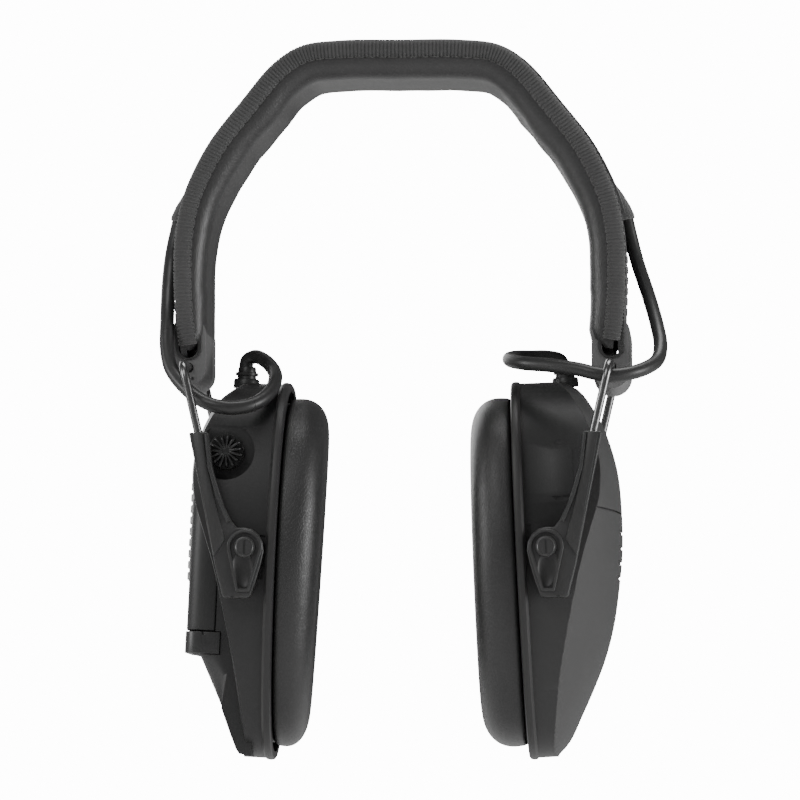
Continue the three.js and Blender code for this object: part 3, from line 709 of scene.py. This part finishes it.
def makeStitches(side, depth, across, name):
    pitch, low = stitches["pitch"], stitches["start"]
    obj = rod(name, stitches["radius"], 0, stitches["long"], (0, 0), "x", 8)
    moveBy(obj, Matrix.Translation((low * mm, side * across * mm, depth * mm)))
    roundEdges(obj, stitches["radius"] * 0.7, 2, lambda a, b: abs(a.x - b.x) < 0.01)
    count = int((bandLength - 2 * low) / pitch)
    modify(obj, "ARRAY", count=count, use_relative_offset=False, use_constant_offset=True,
           constant_offset_displace=(pitch * mm, 0, 0))
    bendToBand(obj)
    finished(obj, stitchThread, "headband", "tape", angle=60)


def makeCover():
    c = cover
    length = bandLength + c["beyond"]
    obj = block("headband_outer_cloth", (-c["beyond"], -c["half"], -0.1), (length, c["half"], c["thick"]))
    slice(obj, band["slices"])
    selectParts(obj, "EDGE", lambda a, b: abs(a.y - b.y) > 20)
    bpy.ops.mesh.subdivide(number_cuts=c["across"])
    leaveEdit()
    for vertex in obj.data.vertices:
        x, y, z = vertex.co / mm
        fromEnd = min(x + c["beyond"], length - x)
        if z < 0.5:
            z -= c["hollow"] * math.cos(y / c["half"] * math.pi / 2) * min(1.0, fromEnd / 4)
        z -= pad["flare"] * (x > bandLength / 2) * max(0.0, 1 - fromEnd / c["flareFrom"]) ** 1.5
        vertex.co = Vector((x, y * (0.8 + 0.2 * roundNose(fromEnd / c["nose"])), z)) * mm
    bendToBand(obj)
    finished(obj, coverCloth, "headband", "fabric", "headband_cover", angle=60)


def makeStrip():
    start = heightPlace(strip["top"])
    stop = bandLength - start
    obj = block("cable_strip", (start, -strip["half"], strip["low"]), (stop, strip["half"], strip["high"]))
    slice(obj, strip["slices"])
    selectParts(obj, "EDGE", lambda a, b: abs(a.y - b.y) > 20)
    bpy.ops.mesh.subdivide(number_cuts=strip["across"])
    leaveEdit()
    for vertex in obj.data.vertices:
        x, y, z = vertex.co / mm
        share = min(1.0, min(x - start, stop - x) / strip["taper"])
        y *= strip["tip"] / strip["half"] + (1 - strip["tip"] / strip["half"]) * math.sin(share * math.pi / 2)
        if z < strip["low"] / 2:
            z -= strip["bulge"] * math.cos(min(1, abs(y) / strip["half"]) * math.pi / 2)
        vertex.co = Vector((x, y, z)) * mm
    bendToBand(obj)
    finished(obj, stripCloth, "headband", "fabric", "cable_cover_strip", angle=60)
    return start


def makeFlap(side, start):  # the raised end of the strip, which the tube comes out under
    obj = turned(side + "_strip_end", flapSteps, 32)
    carve(obj, rod("hole", flap["hole"], flap["mouth"], 1, sides=24))
    slice(obj, 2)
    for vertex in obj.data.vertices:
        x, y, z = vertex.co / mm
        wide = flap["wide"] if z < flap["mouth"] else flap["mouthWide"]
        drop = flap["sink"] + flap["slope"] * min(0.0, z - flap["mouth"])
        reach = start + 3 - z if side == "left" else bandLength - start - 3 + z
        vertex.co = Vector((reach - 3 * (1 if side == "left" else -1), y * wide, -drop + x)) * mm
    bendToBand(obj)
    finished(obj, stripCloth, "headband", "fabric", side + "_cable_exit_flap", angle=50)


def makeHeadband():
    makePad()
    makeBinding(1, "front_edge_tape", "binding_front")
    makeBinding(-1, "rear_edge_tape", "binding_rear")
    makeCover()
    start = makeStrip()
    for side, word in ((1, "front"), (-1, "rear")):
        makeStitches(side, binding["bottom"] + 0.1, stitches["inner"], f"inner_stitches_{word}")
        makeStitches(side, -0.4, stitches["outer"], f"outer_stitches_{word}")
    makeFlap("left", start)
    makeFlap("right", start)


makeHeadband()
print("headband ready")

# hinge brackets and forks

hinge = {"x": 62.9, "z": -85.4, "lean": 13}
# lip: width of the dark rim round the bracket's hole, a raised rim whose dark colour is painted shade at the hole's
# edge
bracket = {"half": 5.2, "top": -70, "bottom": -90.6, "long": 18.2, "holeHalf": 2.8, "holeTop": -72.8,
           "holeBottom": -82.6, "bore": 1.5, "markX": 61.7, "markZ": -88.6, "neck": (60.9, 65.9), "lip": 1.2}
rightBracket = {**bracket, "half": 5.8, "bottom": -92}


def capsule(name, half, top, bottom, long):
    arc = [math.pi * i / 14 for i in range(15)]
    points = [(hinge["x"] + half * math.cos(a), top - half + half * math.sin(a)) for a in arc]
    points += [(hinge["x"] - half * math.cos(a), bottom + half - half * math.sin(a)) for a in arc]
    return plate(name, points, -long, long)


def makeBracket(side):
    b = bracket if side == "left" else rightBracket
    obj = capsule(side + "_band_bracket", b["half"], b["top"], b["bottom"], b["long"])
    hole = capsule("hole", b["holeHalf"], b["holeTop"], b["holeBottom"], 30)
    bore = rod("bore", b["bore"], -30, 30, (hinge["x"], hinge["z"]), "y", 24)
    mark = rod("mark", 0.5, -30, -b["long"] + 0.5, (b["markX"], b["markZ"]), "y", 12)
    carve(obj, hole, bore, mark)
    weld(obj, block("neck", (b["neck"][0], -17, -72), (b["neck"][1], 17, -60)))
    soften(obj, 0.8, 4)
    # a raised rim round the mouth of the bore, made in dark plastic as painted shade: it darkens the edge of the hole
    # where shade falls
    lip = capsule(side + "_bracket_lip", b["holeHalf"] + b["lip"], b["holeTop"] + b["lip"],
                  b["holeBottom"] - b["lip"] / 2, b["long"] + 0.5)
    inside = capsule("inside", b["holeHalf"] - 0.1, b["holeTop"] - 0.1, b["holeBottom"] + 0.1, 30)
    middle = block("middle", (50, -b["long"] + 0.3, -100), (80, b["long"] - 0.3, -60))
    carve(lip, inside, middle)
    soften(lip, 0.3, 3)
    if side == "left":
        moveBy(obj, Matrix.Diagonal((-1, 1, 1, 1)))
        moveBy(lip, Matrix.Diagonal((-1, 1, 1, 1)))
    finished(obj, nylonBracket, "headband", "nylon", side + "_hinge_bracket")
    # the rim takes dark pin plastic as painted shade at the hole's edge, against the light nylon of the bracket
    finished(lip, plasticPin, "headband", "nylon", side + "_hinge_bracket")


fork = {"radius": 1.25, "span": 39.8, "leg": 49, "bend": 5.5, "middle": 15}


def makeFork(side):
    lean = math.radians(hinge["lean"])
    down = Vector((-math.sin(lean), 0, -math.cos(lean)))
    top = Vector((hinge["x"], 0, hinge["z"]))
    half = [top + Vector((0, fork["span"], 0)) + down * d for d in (fork["leg"], fork["leg"] * 0.5, fork["bend"])]
    corner = top + Vector((0, fork["span"], 0))
    before, after = corner + down * fork["bend"], corner - Vector((0, fork["bend"], 0))
    for i in range(1, 12):
        t = i / 12
        half.append(before * (1 - t) ** 2 + corner * (2 * t * (1 - t)) + after * t**2)
    half += [after, top + Vector((0, fork["middle"], 0))]
    line = half + [Vector((p.x, -p.y, p.z)) for p in reversed(half)]
    sign = -1 if side == "left" else 1
    line = [Vector((p.x * sign, p.y, p.z)) * mm for p in line]
    obj = roundWire(side + "_spring_fork", line, fork["radius"] * mm, 7)
    finished(obj, springSteel, side + "_fork", "steel", side + "_fork_wire", angle=50)


# sliding arms

pivot = (44.2, -140)
arm = {"inner": 37.3, "outer": 42.3, "edge": 0.8, "blade": 0.55, "boss": 0.7, "ridge": 0.95, "dish": 0.3,
       "spoon": (3.2, 1.3, 6.0), "spoonAt": (0.5, -6.2), "bore": 2.45, "socket": 1.5}
bossShape = {"radius": 5.2, "tip": 2.0, "point": 13.2}
dishShape = {"radius": 4.3, "tip": 1.3, "point": 12.2}
armOutline = [
    (10.9, 33.9), (9.8, 23.9), (7.9, 17.4), (6.1, 12), (4.0, 7.8), (2.4, 5.7), (0, 5.7), (-2.2, 5.2), (-4.2, 3.6),
    (-5.3, 1.4), (-5.6, -1.2), (-4.8, -4.9), (-3.2, -10.2), (-1.7, -14.2), (-0.9, -14.9), (5.9, -14.9), (6.6, -14.2),
    (8.8, -5.2), (12.6, 14.2), (16.5, 33.7),
]
ridgeOutline = [
    (10.9, 33.2), (9.9, 23.6), (7.6, 15.6), (4.4, 7.6), (5.3, 7.1), (8.6, 15.2), (10.9, 23.4), (11.9, 33.2),
]
bladeOutline = [(12.3, 33.7), (10.9, 23.5), (8.6, 13.4), (5.8, 2.2), (9.0, -2.8), (9.7, 0.6), (15.5, 33.5)]


def armPlate(name, outline, low, high):  # an outline given from the pin
    return plate(name, [(x + pivot[0], z + pivot[1]) for x, z in outline], low, high)


def teardrop(name, shape, low, high):  # round at the pin, narrow at its lower end
    arc = [math.radians(-15 + 210 * i / 24) for i in range(25)]
    outline = [(shape["radius"] * math.cos(a), shape["radius"] * math.sin(a)) for a in arc]
    outline += [(0.6 - shape["tip"], -shape["point"]), (0.6 + shape["tip"], -shape["point"])]
    return armPlate(name, outline, low, high)


def makeSpoon(face):  # the hollow in the lower part of the dish
    spot = (pivot[0] + arm["spoonAt"][0], 0.1 - face, pivot[1] + arm["spoonAt"][1])
    deselectAll()
    bpy.ops.mesh.primitive_uv_sphere_add(segments=32, ring_count=20, radius=mm, location=[c * mm for c in spot],
                                         rotation=(0, math.radians(4), 0))
    bpy.context.object.scale = arm["spoon"]
    return named("spoon")


def makeArm(side, end, direction):
    face = arm["outer"]
    obj = armPlate(f"{side}_{end}_slide_arm", armOutline, -face, -arm["inner"])
    soften(obj, arm["edge"], 3, 30)
    blade = armPlate("blade", bladeOutline, -face - arm["blade"], -face + 1)
    soften(blade, 0.35, 2, 30)
    boss = teardrop("boss", bossShape, -face - arm["boss"], -face + 1)
    soften(boss, 0.4, 3, 30)
    weld(obj, blade, boss)
    ridge = armPlate("ridge", ridgeOutline, -face - arm["ridge"], -face + 1)
    soften(ridge, 0.3, 2, 30)
    weld(obj, ridge)
    dish = teardrop("dish", dishShape, -50, -face + arm["dish"])
    spoon = makeSpoon(face)
    notch = block("notch", (pivot[0] + 3.2, -50, pivot[1] - 16), (pivot[0] + 4.0, -face + 0.3, pivot[1] - 14.3))
    bore = rod("bore", arm["bore"], -50, -30, pivot, "y", 32)
    carve(obj, dish, spoon, notch, bore)
    lean = Matrix.Rotation(math.radians(hinge["lean"]), 4, "Y")
    socket = rod("socket", arm["socket"], -66, -18, sides=24)
    moveBy(socket, Matrix.Translation((hinge["x"] * mm, -fork["span"] * mm, hinge["z"] * mm)) @ lean)
    carve(obj, socket)
    flip = Matrix.Diagonal((-1 if side == "left" else 1, -direction, 1, 1))
    moveBy(obj, flip)
    finished(obj, plasticArm, side + "_arms", "arm_plastic", f"{side}_{end}_arm", angle=28)


for side in ("left", "right"):
    makeBracket(side)
    makeFork(side)
    makeArm(side, "front", -1)
    makeArm(side, "rear", 1)
print("brackets, forks and arms ready")

# ear cups: u outward from the flange, v front to back, w up

cup = {"pivotU": 8.9, "pivotW": 5, "tilt": 2.7, "squareness": 0.78, "taper": 0.16, "sides": 96}


def cupPlace(side):  # from cup measures to the earmuff
    here = Matrix.Translation((pivot[0] * mm, 0, pivot[1] * mm))
    tilt = Matrix.Rotation(math.radians(-cup["tilt"]), 4, "Y")
    there = Matrix.Translation((-cup["pivotU"] * mm, 0, -cup["pivotW"] * mm))
    flip = Matrix.Diagonal((-1 if side == "left" else 1, 1, 1, 1))
    return flip @ here @ tilt @ there


def cupRing(sides=None):
    points = []
    count = sides or cup["sides"]
    for i in range(count):
        turn = (i + 0.5) * 2 * math.pi / count
        c, s = math.cos(turn), math.sin(turn)
        across = math.copysign(abs(c) ** cup["squareness"], c)
        up = math.copysign(abs(s) ** cup["squareness"], s)
        points.append((across * (1 - cup["taper"] * max(0.0, -up)), up))
    return points


standUp = Matrix(((0, 0, 1, 0), (1, 0, 0, 0), (0, 1, 0, 0), (0, 0, 0, 1)))  # a raised ring's +Z becomes u


def cupBody(name, sections):  # sections: (u, half width, top, bottom)
    rings = [(u, half, (top - bottom) / 2, (top + bottom) / 2) for u, half, top, bottom in sections]
    return moveBy(raised(name, cupRing(), rings), standUp)


def along(points, w):  # a smooth curve through (w, u) points, read at w
    if w >= points[0][0] or w <= points[-1][0]:
        return points[0][1] if w >= points[0][0] else points[-1][1]
    line = smoothLine([(a, b, 0) for a, b in points], 6)
    for p, q in zip(line, line[1:]):
        if q.x <= w:
            share = (p.x - w) / max(0.001, p.x - q.x)
            return p.y + (q.y - p.y) * share


creaseLine = [(56, 13), (52, 16.5), (45, 21), (36, 24.4), (28, 25.6), (19.4, 24.9), (10, 21.8), (0.7, 18.6),
              (-9, 16), (-19.7, 13.4), (-32.2, 10.6), (-45, 8.6), (-56, 7)]
crestRight = [(56, 14), (55.4, 16.4), (52.8, 20.3), (46.9, 24.2), (40.5, 27.2), (33, 29.4), (26, 30.6), (15, 31),
              (4, 30.6), (-5, 29.4), (-17, 27.2), (-27, 24.2), (-36, 20.3), (-43.8, 16.4), (-52, 12), (-56, 8)]
crestLeft = [(56, 14), (54.3, 16.5), (50.6, 21), (43.5, 25), (35.5, 27.4), (26, 28), (19.4, 26.6), (10, 23.6),
             (0.7, 20.4), (-9, 17.8), (-19.7, 15.2), (-32.2, 12.6), (-45, 10.6), (-54, 10), (-56, 9)]
wall = {"half": 36.6, "top": 56, "bottom": -56, "thick": 2.0, "grid": 72, "reach": 34,
        "wide": 84, "high": 120, "bow": 2.1}


def roofHeight(crest, v, w, drop=0.0):  # how far out the cup reaches at this place
    up = max(-1.0, min(1.0, w / wall["top"]))
    sine = abs(up) ** (1 / cup["squareness"])
    narrow = 1 - cup["taper"] * max(0.0, -up)
    half = wall["half"] * math.sqrt(max(0.0, 1 - sine * sine)) ** cup["squareness"] * narrow
    share = min(1.0, abs(v) / max(4.0, half))
    return along(crest, w) - (along(crest, w) - along(creaseLine, w)) * share ** wall["bow"] - drop


def roofBody(name, crest, drop=0.0, low=1.5):  # everything under the outer face
    count = wall["grid"]
    deselectAll()
    bpy.ops.mesh.primitive_grid_add(x_subdivisions=count, y_subdivisions=count, size=1)
    obj = named(name)
    heights = {}
    for vertex in obj.data.vertices:
        v, w = vertex.co.x * wall["wide"], vertex.co.y * wall["high"]
        key = (round(abs(v), 3), round(w, 3))
        if key not in heights:
            heights[key] = roofHeight(crest, v, w, drop)
        vertex.co = Vector((low, v, w)) * mm
    selectParts(obj, "FACE", lambda c, n: True)
    bpy.ops.mesh.extrude_region_move(TRANSFORM_OT_translate={"value": (20 * mm, 0, 0)})
    leaveEdit()
    for vertex in obj.data.vertices:
        u, v, w = vertex.co / mm
        if u > low + 1:
            vertex.co.x = heights[(round(abs(v), 3), round(w, 3))] * mm
    faceOut(obj)
    return obj


def wallBody(name, low, high, inset=0.0):
    half, top, bottom = wall["half"] - inset, wall["top"] - inset, wall["bottom"] + inset
    return cupBody(name, [(low, half, top, bottom), (high, half - 0.6, top - 0.3, bottom + 0.3)])


def housing(name, crest):
    obj = wallBody(name, 1.5, wall["reach"])
    carve(obj, roofBody("roof", crest, low=-2), operation="INTERSECT")
    return obj


def hollow(crest):  # the room inside the shell, open towards the ear
    obj = wallBody("inside", -6, wall["reach"], wall["thick"])
    carve(obj, roofBody("inner roof", crest, wall["thick"], low=-8), operation="INTERSECT")
    return obj


rim = [(0.0, 41.2, 55.8, -55.8), (0.35, 41.8, 56.3, -56.3), (1.2, 42, 56.5, -56.5), (2.1, 41.8, 56.4, -56.4),
       (2.8, 40.9, 55.8, -55.8)]
grip = {"rows": (9.5, 5.0, 0.5, -4.0), "wide": 1.2, "fall": 3.2, "half": 12.5, "deep": 0.45, "seam": 1.0}
sidePanel = {"near": 11.2, "far": 17.6, "low": 20.0, "high": 34, "proud": 0.5}
bay = {"near": 15, "half": 14.0, "bottom": -26.2, "top": 27.6, "doorNear": 18.4, "latchNear": 16.7, "latchTop": -19.3}
bulge = {"half": 15.9, "round": 5.5}
baffle = {"hole": 14, "vents": 24, "vent": 0.9, "ventRing": 16.8}
baffleSteps = [(0.3, 36.5, 50.1, -50.9), (0.6, 36.8, 50.4, -51.2), (1.7, 36.8, 50.4, -51.2)]
recessSize = (37.0, 50.6, -51.4)
pinBore = 2.45
slotFloor = -35.7
bowl = {"u": 16.6, "w": 33.4, "radius": 8.5, "floor": -28.9}


def pinHole():
    return rod("pin hole", pinBore, -60, 60, (cup["pivotU"], cup["pivotW"]), "y", 32)


def recess():  # where the baffle plate lies in the rim
    return cupBody("recess", [(-5, *recessSize), (1.9, *recessSize)])


def makeRightShell():
    dome = housing("right_cup_housing", crestRight)
    outer = roofBody("outer", crestRight, grip["deep"], low=-2)
    face = duplicate(dome, "right_soft_face")
    outline = [(u + 0.1, w) for w, u in creaseLine] + [(50, -66), (50, 66)]
    carve(face, plate("face side", outline, -60, 60), operation="INTERSECT")
    carve(dome, plate("shell side", outline, -60, 60))
    seam = plate("seam", [(12, 18.2), (12, 17.7), (60, 10.8), (60, 11.3)], -60, 60)
    carve(seam, roofBody("seam floor", crestRight, grip["seam"], low=-2))  # shallow, so that the face stays one body
    carve(face, seam)
    for i, w in enumerate(grip["rows"]):
        low = w - grip["fall"]
        corners = [(26, w), (60, low), (60, low + grip["wide"]), (26, w + grip["wide"])]
        groove = plate("groove", corners, i - grip["half"], grip["half"] - i)
        carve(groove, duplicate(outer, "kept"))
        carve(face, groove)
    bpy.data.objects.remove(outer)
    s = sidePanel
    panel = wallBody("side panel", 1.5, wall["reach"], -s["proud"])
    window = block("window", (s["near"], -60, s["low"]), (s["far"], -20, s["high"]))
    carve(panel, window, operation="INTERSECT")
    weld(dome, cupBody("rim", rim))
    weld(dome, panel)
    notch = block("notch", (s["near"] + 1, -40, s["low"] - 1.2), (s["far"] - 0.2, slotFloor + 0.5, s["low"]))
    slot = block("slot", (3.4, -40, 3), (4.6, slotFloor, 12))
    carve(dome, hollow(crestRight), recess(), notch, slot, pinHole())
    soften(face, 0.4, 3, 50)
    soften(dome, 0.35, 3, 50)
    moveBy(dome, cupPlace("right"))
    moveBy(face, cupPlace("right"))
    finished(dome, plasticShell, "right_cup", "shell_plastic", "right_cup_shell")
    finished(face, plasticFace, "right_cup", "soft_plastic", "right_outer_skin")


def makeLeftShell():
    b = bay
    dome = housing("left_cup_housing", crestLeft)
    outline = [(6, 53), (15, 53.2), (20.4, 50.4), (23.4, 46), (25.4, 41.2), (27.2, 34), (27.8, 27.8), (27.8, -25.9),
               (23, -26.6), (19.4, -34), (15.6, -42), (12.6, -49.4), (10.7, -53.8), (9.6, -55.3), (6, -55.8)]
    fairing = plate("battery bulge", outline, -bulge["half"], bulge["half"])
    roundEdges(fairing, bulge["round"], 7,
               lambda a, b: abs(a.y - b.y) < 0.1 and min(a.x, b.x) > 13 and max(a.z, b.z) < 52)
    weld(dome, fairing, cupBody("rim", rim))
    inside = hollow(crestLeft)
    carve(inside, block("bay wall", (13.2, -16.6, -28.5), (50, 16.6, 30)),
          rod("bowl wall", bowl["radius"] + 1.6, -60, bowl["floor"] + 1.6, (bowl["u"], bowl["w"]), "y", 48))
    room = block("bay", (b["near"], -b["half"], b["bottom"]), (40, b["half"], b["top"]))
    opening = block("door opening", (b["doorNear"], -17, b["bottom"]), (40, 17, b["top"]))
    seat = block("latch seat", (b["latchNear"], -17, b["bottom"]), (40, 17, b["latchTop"]))
    well = rod("well", bowl["radius"], -60, bowl["floor"], (bowl["u"], bowl["w"]), "y", 64)
    slot = block("slot", (3.4, -40, -4), (5.0, slotFloor, 9))
    carve(dome, inside, recess(), room, opening, seat, well, slot, pinHole())
    soften(dome, 0.35, 2, 50)
    moveBy(dome, cupPlace("left"))
    finished(dome, plasticShell, "left_cup", "shell_plastic", "left_cup_shell")


def makeBaffle(side):  # the plate that closes the cup, lying in the rim
    obj = cupBody(side + "_speaker_plate", baffleSteps)
    carve(obj, rod("hole", baffle["hole"], -10, 10, axis="x", sides=64))
    for i in range(baffle["vents"]):
        turn, out = 2 * math.pi * i / baffle["vents"], baffle["ventRing"]
        carve(obj, rod("vent", baffle["vent"], -10, 10, (out * math.cos(turn), out * math.sin(turn)), "x", 12))
    moveBy(obj, cupPlace(side))
    finished(obj, plasticShell, side + "_cup", "shell_plastic", side + "_baffle_plate")


makeRightShell()
makeLeftShell()
for side in ("left", "right"):
    makeBaffle(side)
print("cup shells ready")

# ear cushions

cushion = {"half": 39.8, "high": 52.1, "shift": -0.2, "mouthHalf": 17, "mouthHigh": 29, "sides": 128, "wrinkle": 0.25}
cushionSection = [  # share of the ring from its mouth outwards, and depth from 0 at the plate to 1 at the face
    (0.985, 0.0), (0.5, 0.0), (0.03, 0.0), (0.0, 0.08), (0.018, 0.15), (0.0, 0.24), (-0.02, 0.4), (0.0, 0.56),
    (0.06, 0.74), (0.15, 0.88), (0.27, 0.965), (0.4, 1.0), (0.52, 1.0), (0.64, 0.98), (0.75, 0.935), (0.85, 0.85),
    (0.93, 0.72), (0.98, 0.56), (1.0, 0.4), (1.0, 0.25), (0.993, 0.1),
]
cushionDepth = {"left": (11.9, 9.8, 0.052), "right": (12.8, 13.8, 0)}  # top, bottom, more towards the front


def makeCushion(side):
    outer = [(x * cushion["half"], y * cushion["high"] + cushion["shift"]) for x, y in cupRing(cushion["sides"])]
    count = len(outer)
    mesh = bmesh.new()
    rings = []
    for share, deep in cushionSection:
        ring = []
        for i, (v, w) in enumerate(outer):
            turn = (i + 0.5) * 2 * math.pi / count
            mouth = (math.cos(turn) * cushion["mouthHalf"], math.sin(turn) * cushion["mouthHigh"])
            spot = Vector((0, mouth[0] + (v - mouth[0]) * share, mouth[1] + (w - mouth[1]) * share))
            high, low, lean = cushionDepth[side]
            spot.x = -deep * (low + (high - low) * (spot.z + 52) / 104 - lean * spot.y)
            ripple = noise.noise(spot * 0.11 + Vector((3 if side == "left" else 11, 0, 0)))
            if 0.2 < deep < 0.97:
                spot += Vector((0, v, w)).normalized() * ripple * cushion["wrinkle"]
            ring.append(mesh.verts.new(spot * mm))
        rings.append(ring)
    for a, b in zip(rings, rings[1:] + rings[:1]):
        for i in range(count):
            k = (i + 1) % count
            mesh.faces.new((a[i], a[k], b[k], b[i]))
    data = bpy.data.meshes.new(side + "_cushion")
    mesh.to_mesh(data)
    mesh.free()
    obj = bpy.data.objects.new(side + "_soft_cushion", data)
    bpy.context.collection.objects.link(obj)
    faceOut(obj)
    modify(obj, "SUBSURF", levels=1, render_levels=1)
    moveBy(obj, cupPlace(side))
    finished(obj, cushionLeather, side + "_cup", "leather", side + "_ear_cushion", angle=70)


for side in ("left", "right"):
    makeCushion(side)
print("cushions ready")

# pins, glands, knob and battery door

pinSteps = [(29.5, 3.0), (32.4, 3.0), (32.4, 2.0), (41.5, 2.0), (42.35, 3.1), (43.0, 3.1), (43.3, 2.95), (43.4, 2.6),
            (43.2, 2.35), (43.25, 0.4)]
pinSlot = {"half": 0.28, "long": 2.0, "floor": 42.9}


def makePin(side, end, direction):
    obj = turned(f"{side}_{end}_slotted_pin", pinSteps, 40)
    s = pinSlot
    carve(obj, block("slot", (-s["half"], -s["long"], s["floor"]), (s["half"], s["long"], 46)))
    turn = Matrix.Rotation(math.radians(90 if direction < 0 else -90), 4, "X")
    shift = Matrix.Translation((cup["pivotU"] * mm, 0, cup["pivotW"] * mm))
    moveBy(obj, cupPlace(side) @ shift @ turn)
    finished(obj, plasticPin, side + "_cup", "pin_plastic", f"{side}_{end}_pivot_pin")


glandPlace = {"left": 14, "right": 16}
glandSteps = [(54.5, 3.9), (56.6, 3.9), (57.2, 3.6), (57.3, 2.9), (58.2, 2.8), (58.3, 3.4), (59.1, 3.45), (59.3, 2.8),
              (60.4, 2.7), (60.9, 2.5), (61.0, 2.15), (60.0, 2.15)]


def makeGland(side):
    obj = turned(side + "_tube_gland", glandSteps, 40)
    moveBy(obj, cupPlace(side) @ Matrix.Translation((glandPlace[side] * mm, 0, 0)))
    finished(obj, tubeRubber, side + "_cup", "rubber", side + "_cable_gland")


knob = {"radius": 5.4, "back": -30.2, "fins": 15, "fin": 0.33, "tall": 3.7}


def makeKnob():
    hub = turned("volume_fin_knob", [(0, 1.3), (3.5, 1.2), (3.8, 1.0), (3.9, 0.4)], 32)
    skirt = turned("skirt", [(0, knob["radius"]), (0.5, knob["radius"]), (0.7, knob["radius"] - 0.3)], 48)
    fins = []
    for i in range(knob["fins"]):
        reach = knob["radius"] - (0.5 if i % 2 else 0)
        fin = block("fin", (0.8, -knob["fin"], 0), (reach, knob["fin"], knob["tall"]))
        roundEdges(fin, 1.5, 5, lambda a, b: min(a.x, b.x) > 4 and min(a.z, b.z) > 3)
        soften(fin, 0.2, 2, 50)
        moveBy(fin, Matrix.Rotation(2 * math.pi * i / knob["fins"], 4, "Z"))
        fins.append(fin)
    obj = merge([hub, skirt, *fins], "volume_fin_knob")
    turn = Matrix.Rotation(math.radians(90), 4, "X")
    shift = Matrix.Translation((bowl["u"] * mm, knob["back"] * mm, bowl["w"] * mm))
    moveBy(obj, cupPlace("left") @ shift @ turn)
    finished(obj, plasticKnob, "volume_knob", "pin_plastic", "volume_knob")


door = {"half": 15.8, "near": 18.6, "far": 27.5, "top": 27.3, "bottom": -19.2, "round": 5.5, "thick": 1.3}
latch = {"half": 16.4, "near": 16.9, "far": 27.6, "top": -19.5, "bottom": -26.0, "round": 4.5, "edge": 1.2,
         "tick": 21.6}


def roundOuter(obj, width, segments):  # the two upright edges that face away from the ear
    roundEdges(obj, width, segments, lambda a, b: abs(a.z - b.z) > 3 and min(a.x, b.x) > 20)


def makeDoor():
    d = door
    obj = block("battery_lid", (d["near"], -d["half"], d["bottom"]), (d["far"], d["half"], d["top"]))
    roundOuter(obj, d["round"], 9)
    half = d["half"] - d["thick"]
    inside = block("inside", (0, -half, -60), (d["far"] - d["thick"], half, 60))
    roundOuter(inside, d["round"] - d["thick"], 7)
    carve(obj, inside)
    soften(obj, 0.4, 3, 40)
    moveBy(obj, cupPlace("left"))
    finished(obj, plasticShell, "battery_door", "shell_plastic", "battery_door")


def makeLatch():
    c = latch
    obj = block("battery_end_cap", (c["near"], -c["half"], c["bottom"]), (c["far"], c["half"], c["top"]))
    roundOuter(obj, c["round"], 9)
    carve(obj, block("tick", (c["tick"], -20, c["top"] - 0.9), (c["tick"] + 0.6, 0.4 - c["half"], -19)))
    soften(obj, c["edge"], 5, 40)
    moveBy(obj, cupPlace("left"))
    finished(obj, plasticPin, "battery_door", "shell_plastic", "battery_latch")


decor = {"half": 7.4, "top": 25.5, "bottom": -4.5, "ribs": 9, "gap": 1.0, "base": 0.5, "proud": 1.0}


def makeDecor():
    d, face = decor, door["far"] - 0.05
    obj = block("ribbed_insert", (face - 0.4, -d["half"], d["bottom"]), (face + d["base"], d["half"], d["top"]))
    pitch = (d["top"] - d["bottom"]) / d["ribs"]
    ribs = []
    for i in range(d["ribs"]):
        low = d["bottom"] + pitch * i + d["gap"] / 2
        far = (face + d["proud"], d["half"] - 0.6, low + pitch - d["gap"])
        ribs.append(block("rib", (face, 0.6 - d["half"], low), far))
    weld(obj, *ribs)
    soften(obj, 0.25, 2, 30)
    moveBy(obj, cupPlace("left"))
    finished(obj, panelInsert, "battery_door", "panel", "decor_panel")


for side in ("left", "right"):
    makePin(side, "front", -1)
    makePin(side, "rear", 1)
    makeGland(side)
makeKnob()
makeDoor()
makeLatch()
makeDecor()
print("pins, glands, knob and battery door ready")

# pieces kept as they are, with their own finish

keptFinishes = {
    "baffle_plate": plasticShell, "cushion_ring": plasticShell, "speaker": plasticPin, "foam_insert": earFoam,
    "sound_absorber": earFoam, "microphone": tubeRubber, "circuit_board": greenBoard,
}
keptPieces = {
    "headband_wire_front": plainSteel, "headband_wire_rear": plainSteel, "headband_cable": tubeRubber,
    "volume_control": plainSteel, "battery_tray": plasticShell,
    "battery_front": cellSleeve, "battery_rear": cellSleeve,
}
for side in ("left", "right"):
    for word, material in keptFinishes.items():
        keptPieces[f"{side}_{word}"] = material
for name, material in keptPieces.items():
    nodes[name].data.materials.clear()
    nodes[name].data.materials.append(material)

bpy.data.objects.remove(bandCurve)
deselectAll()
print("all pieces ready")
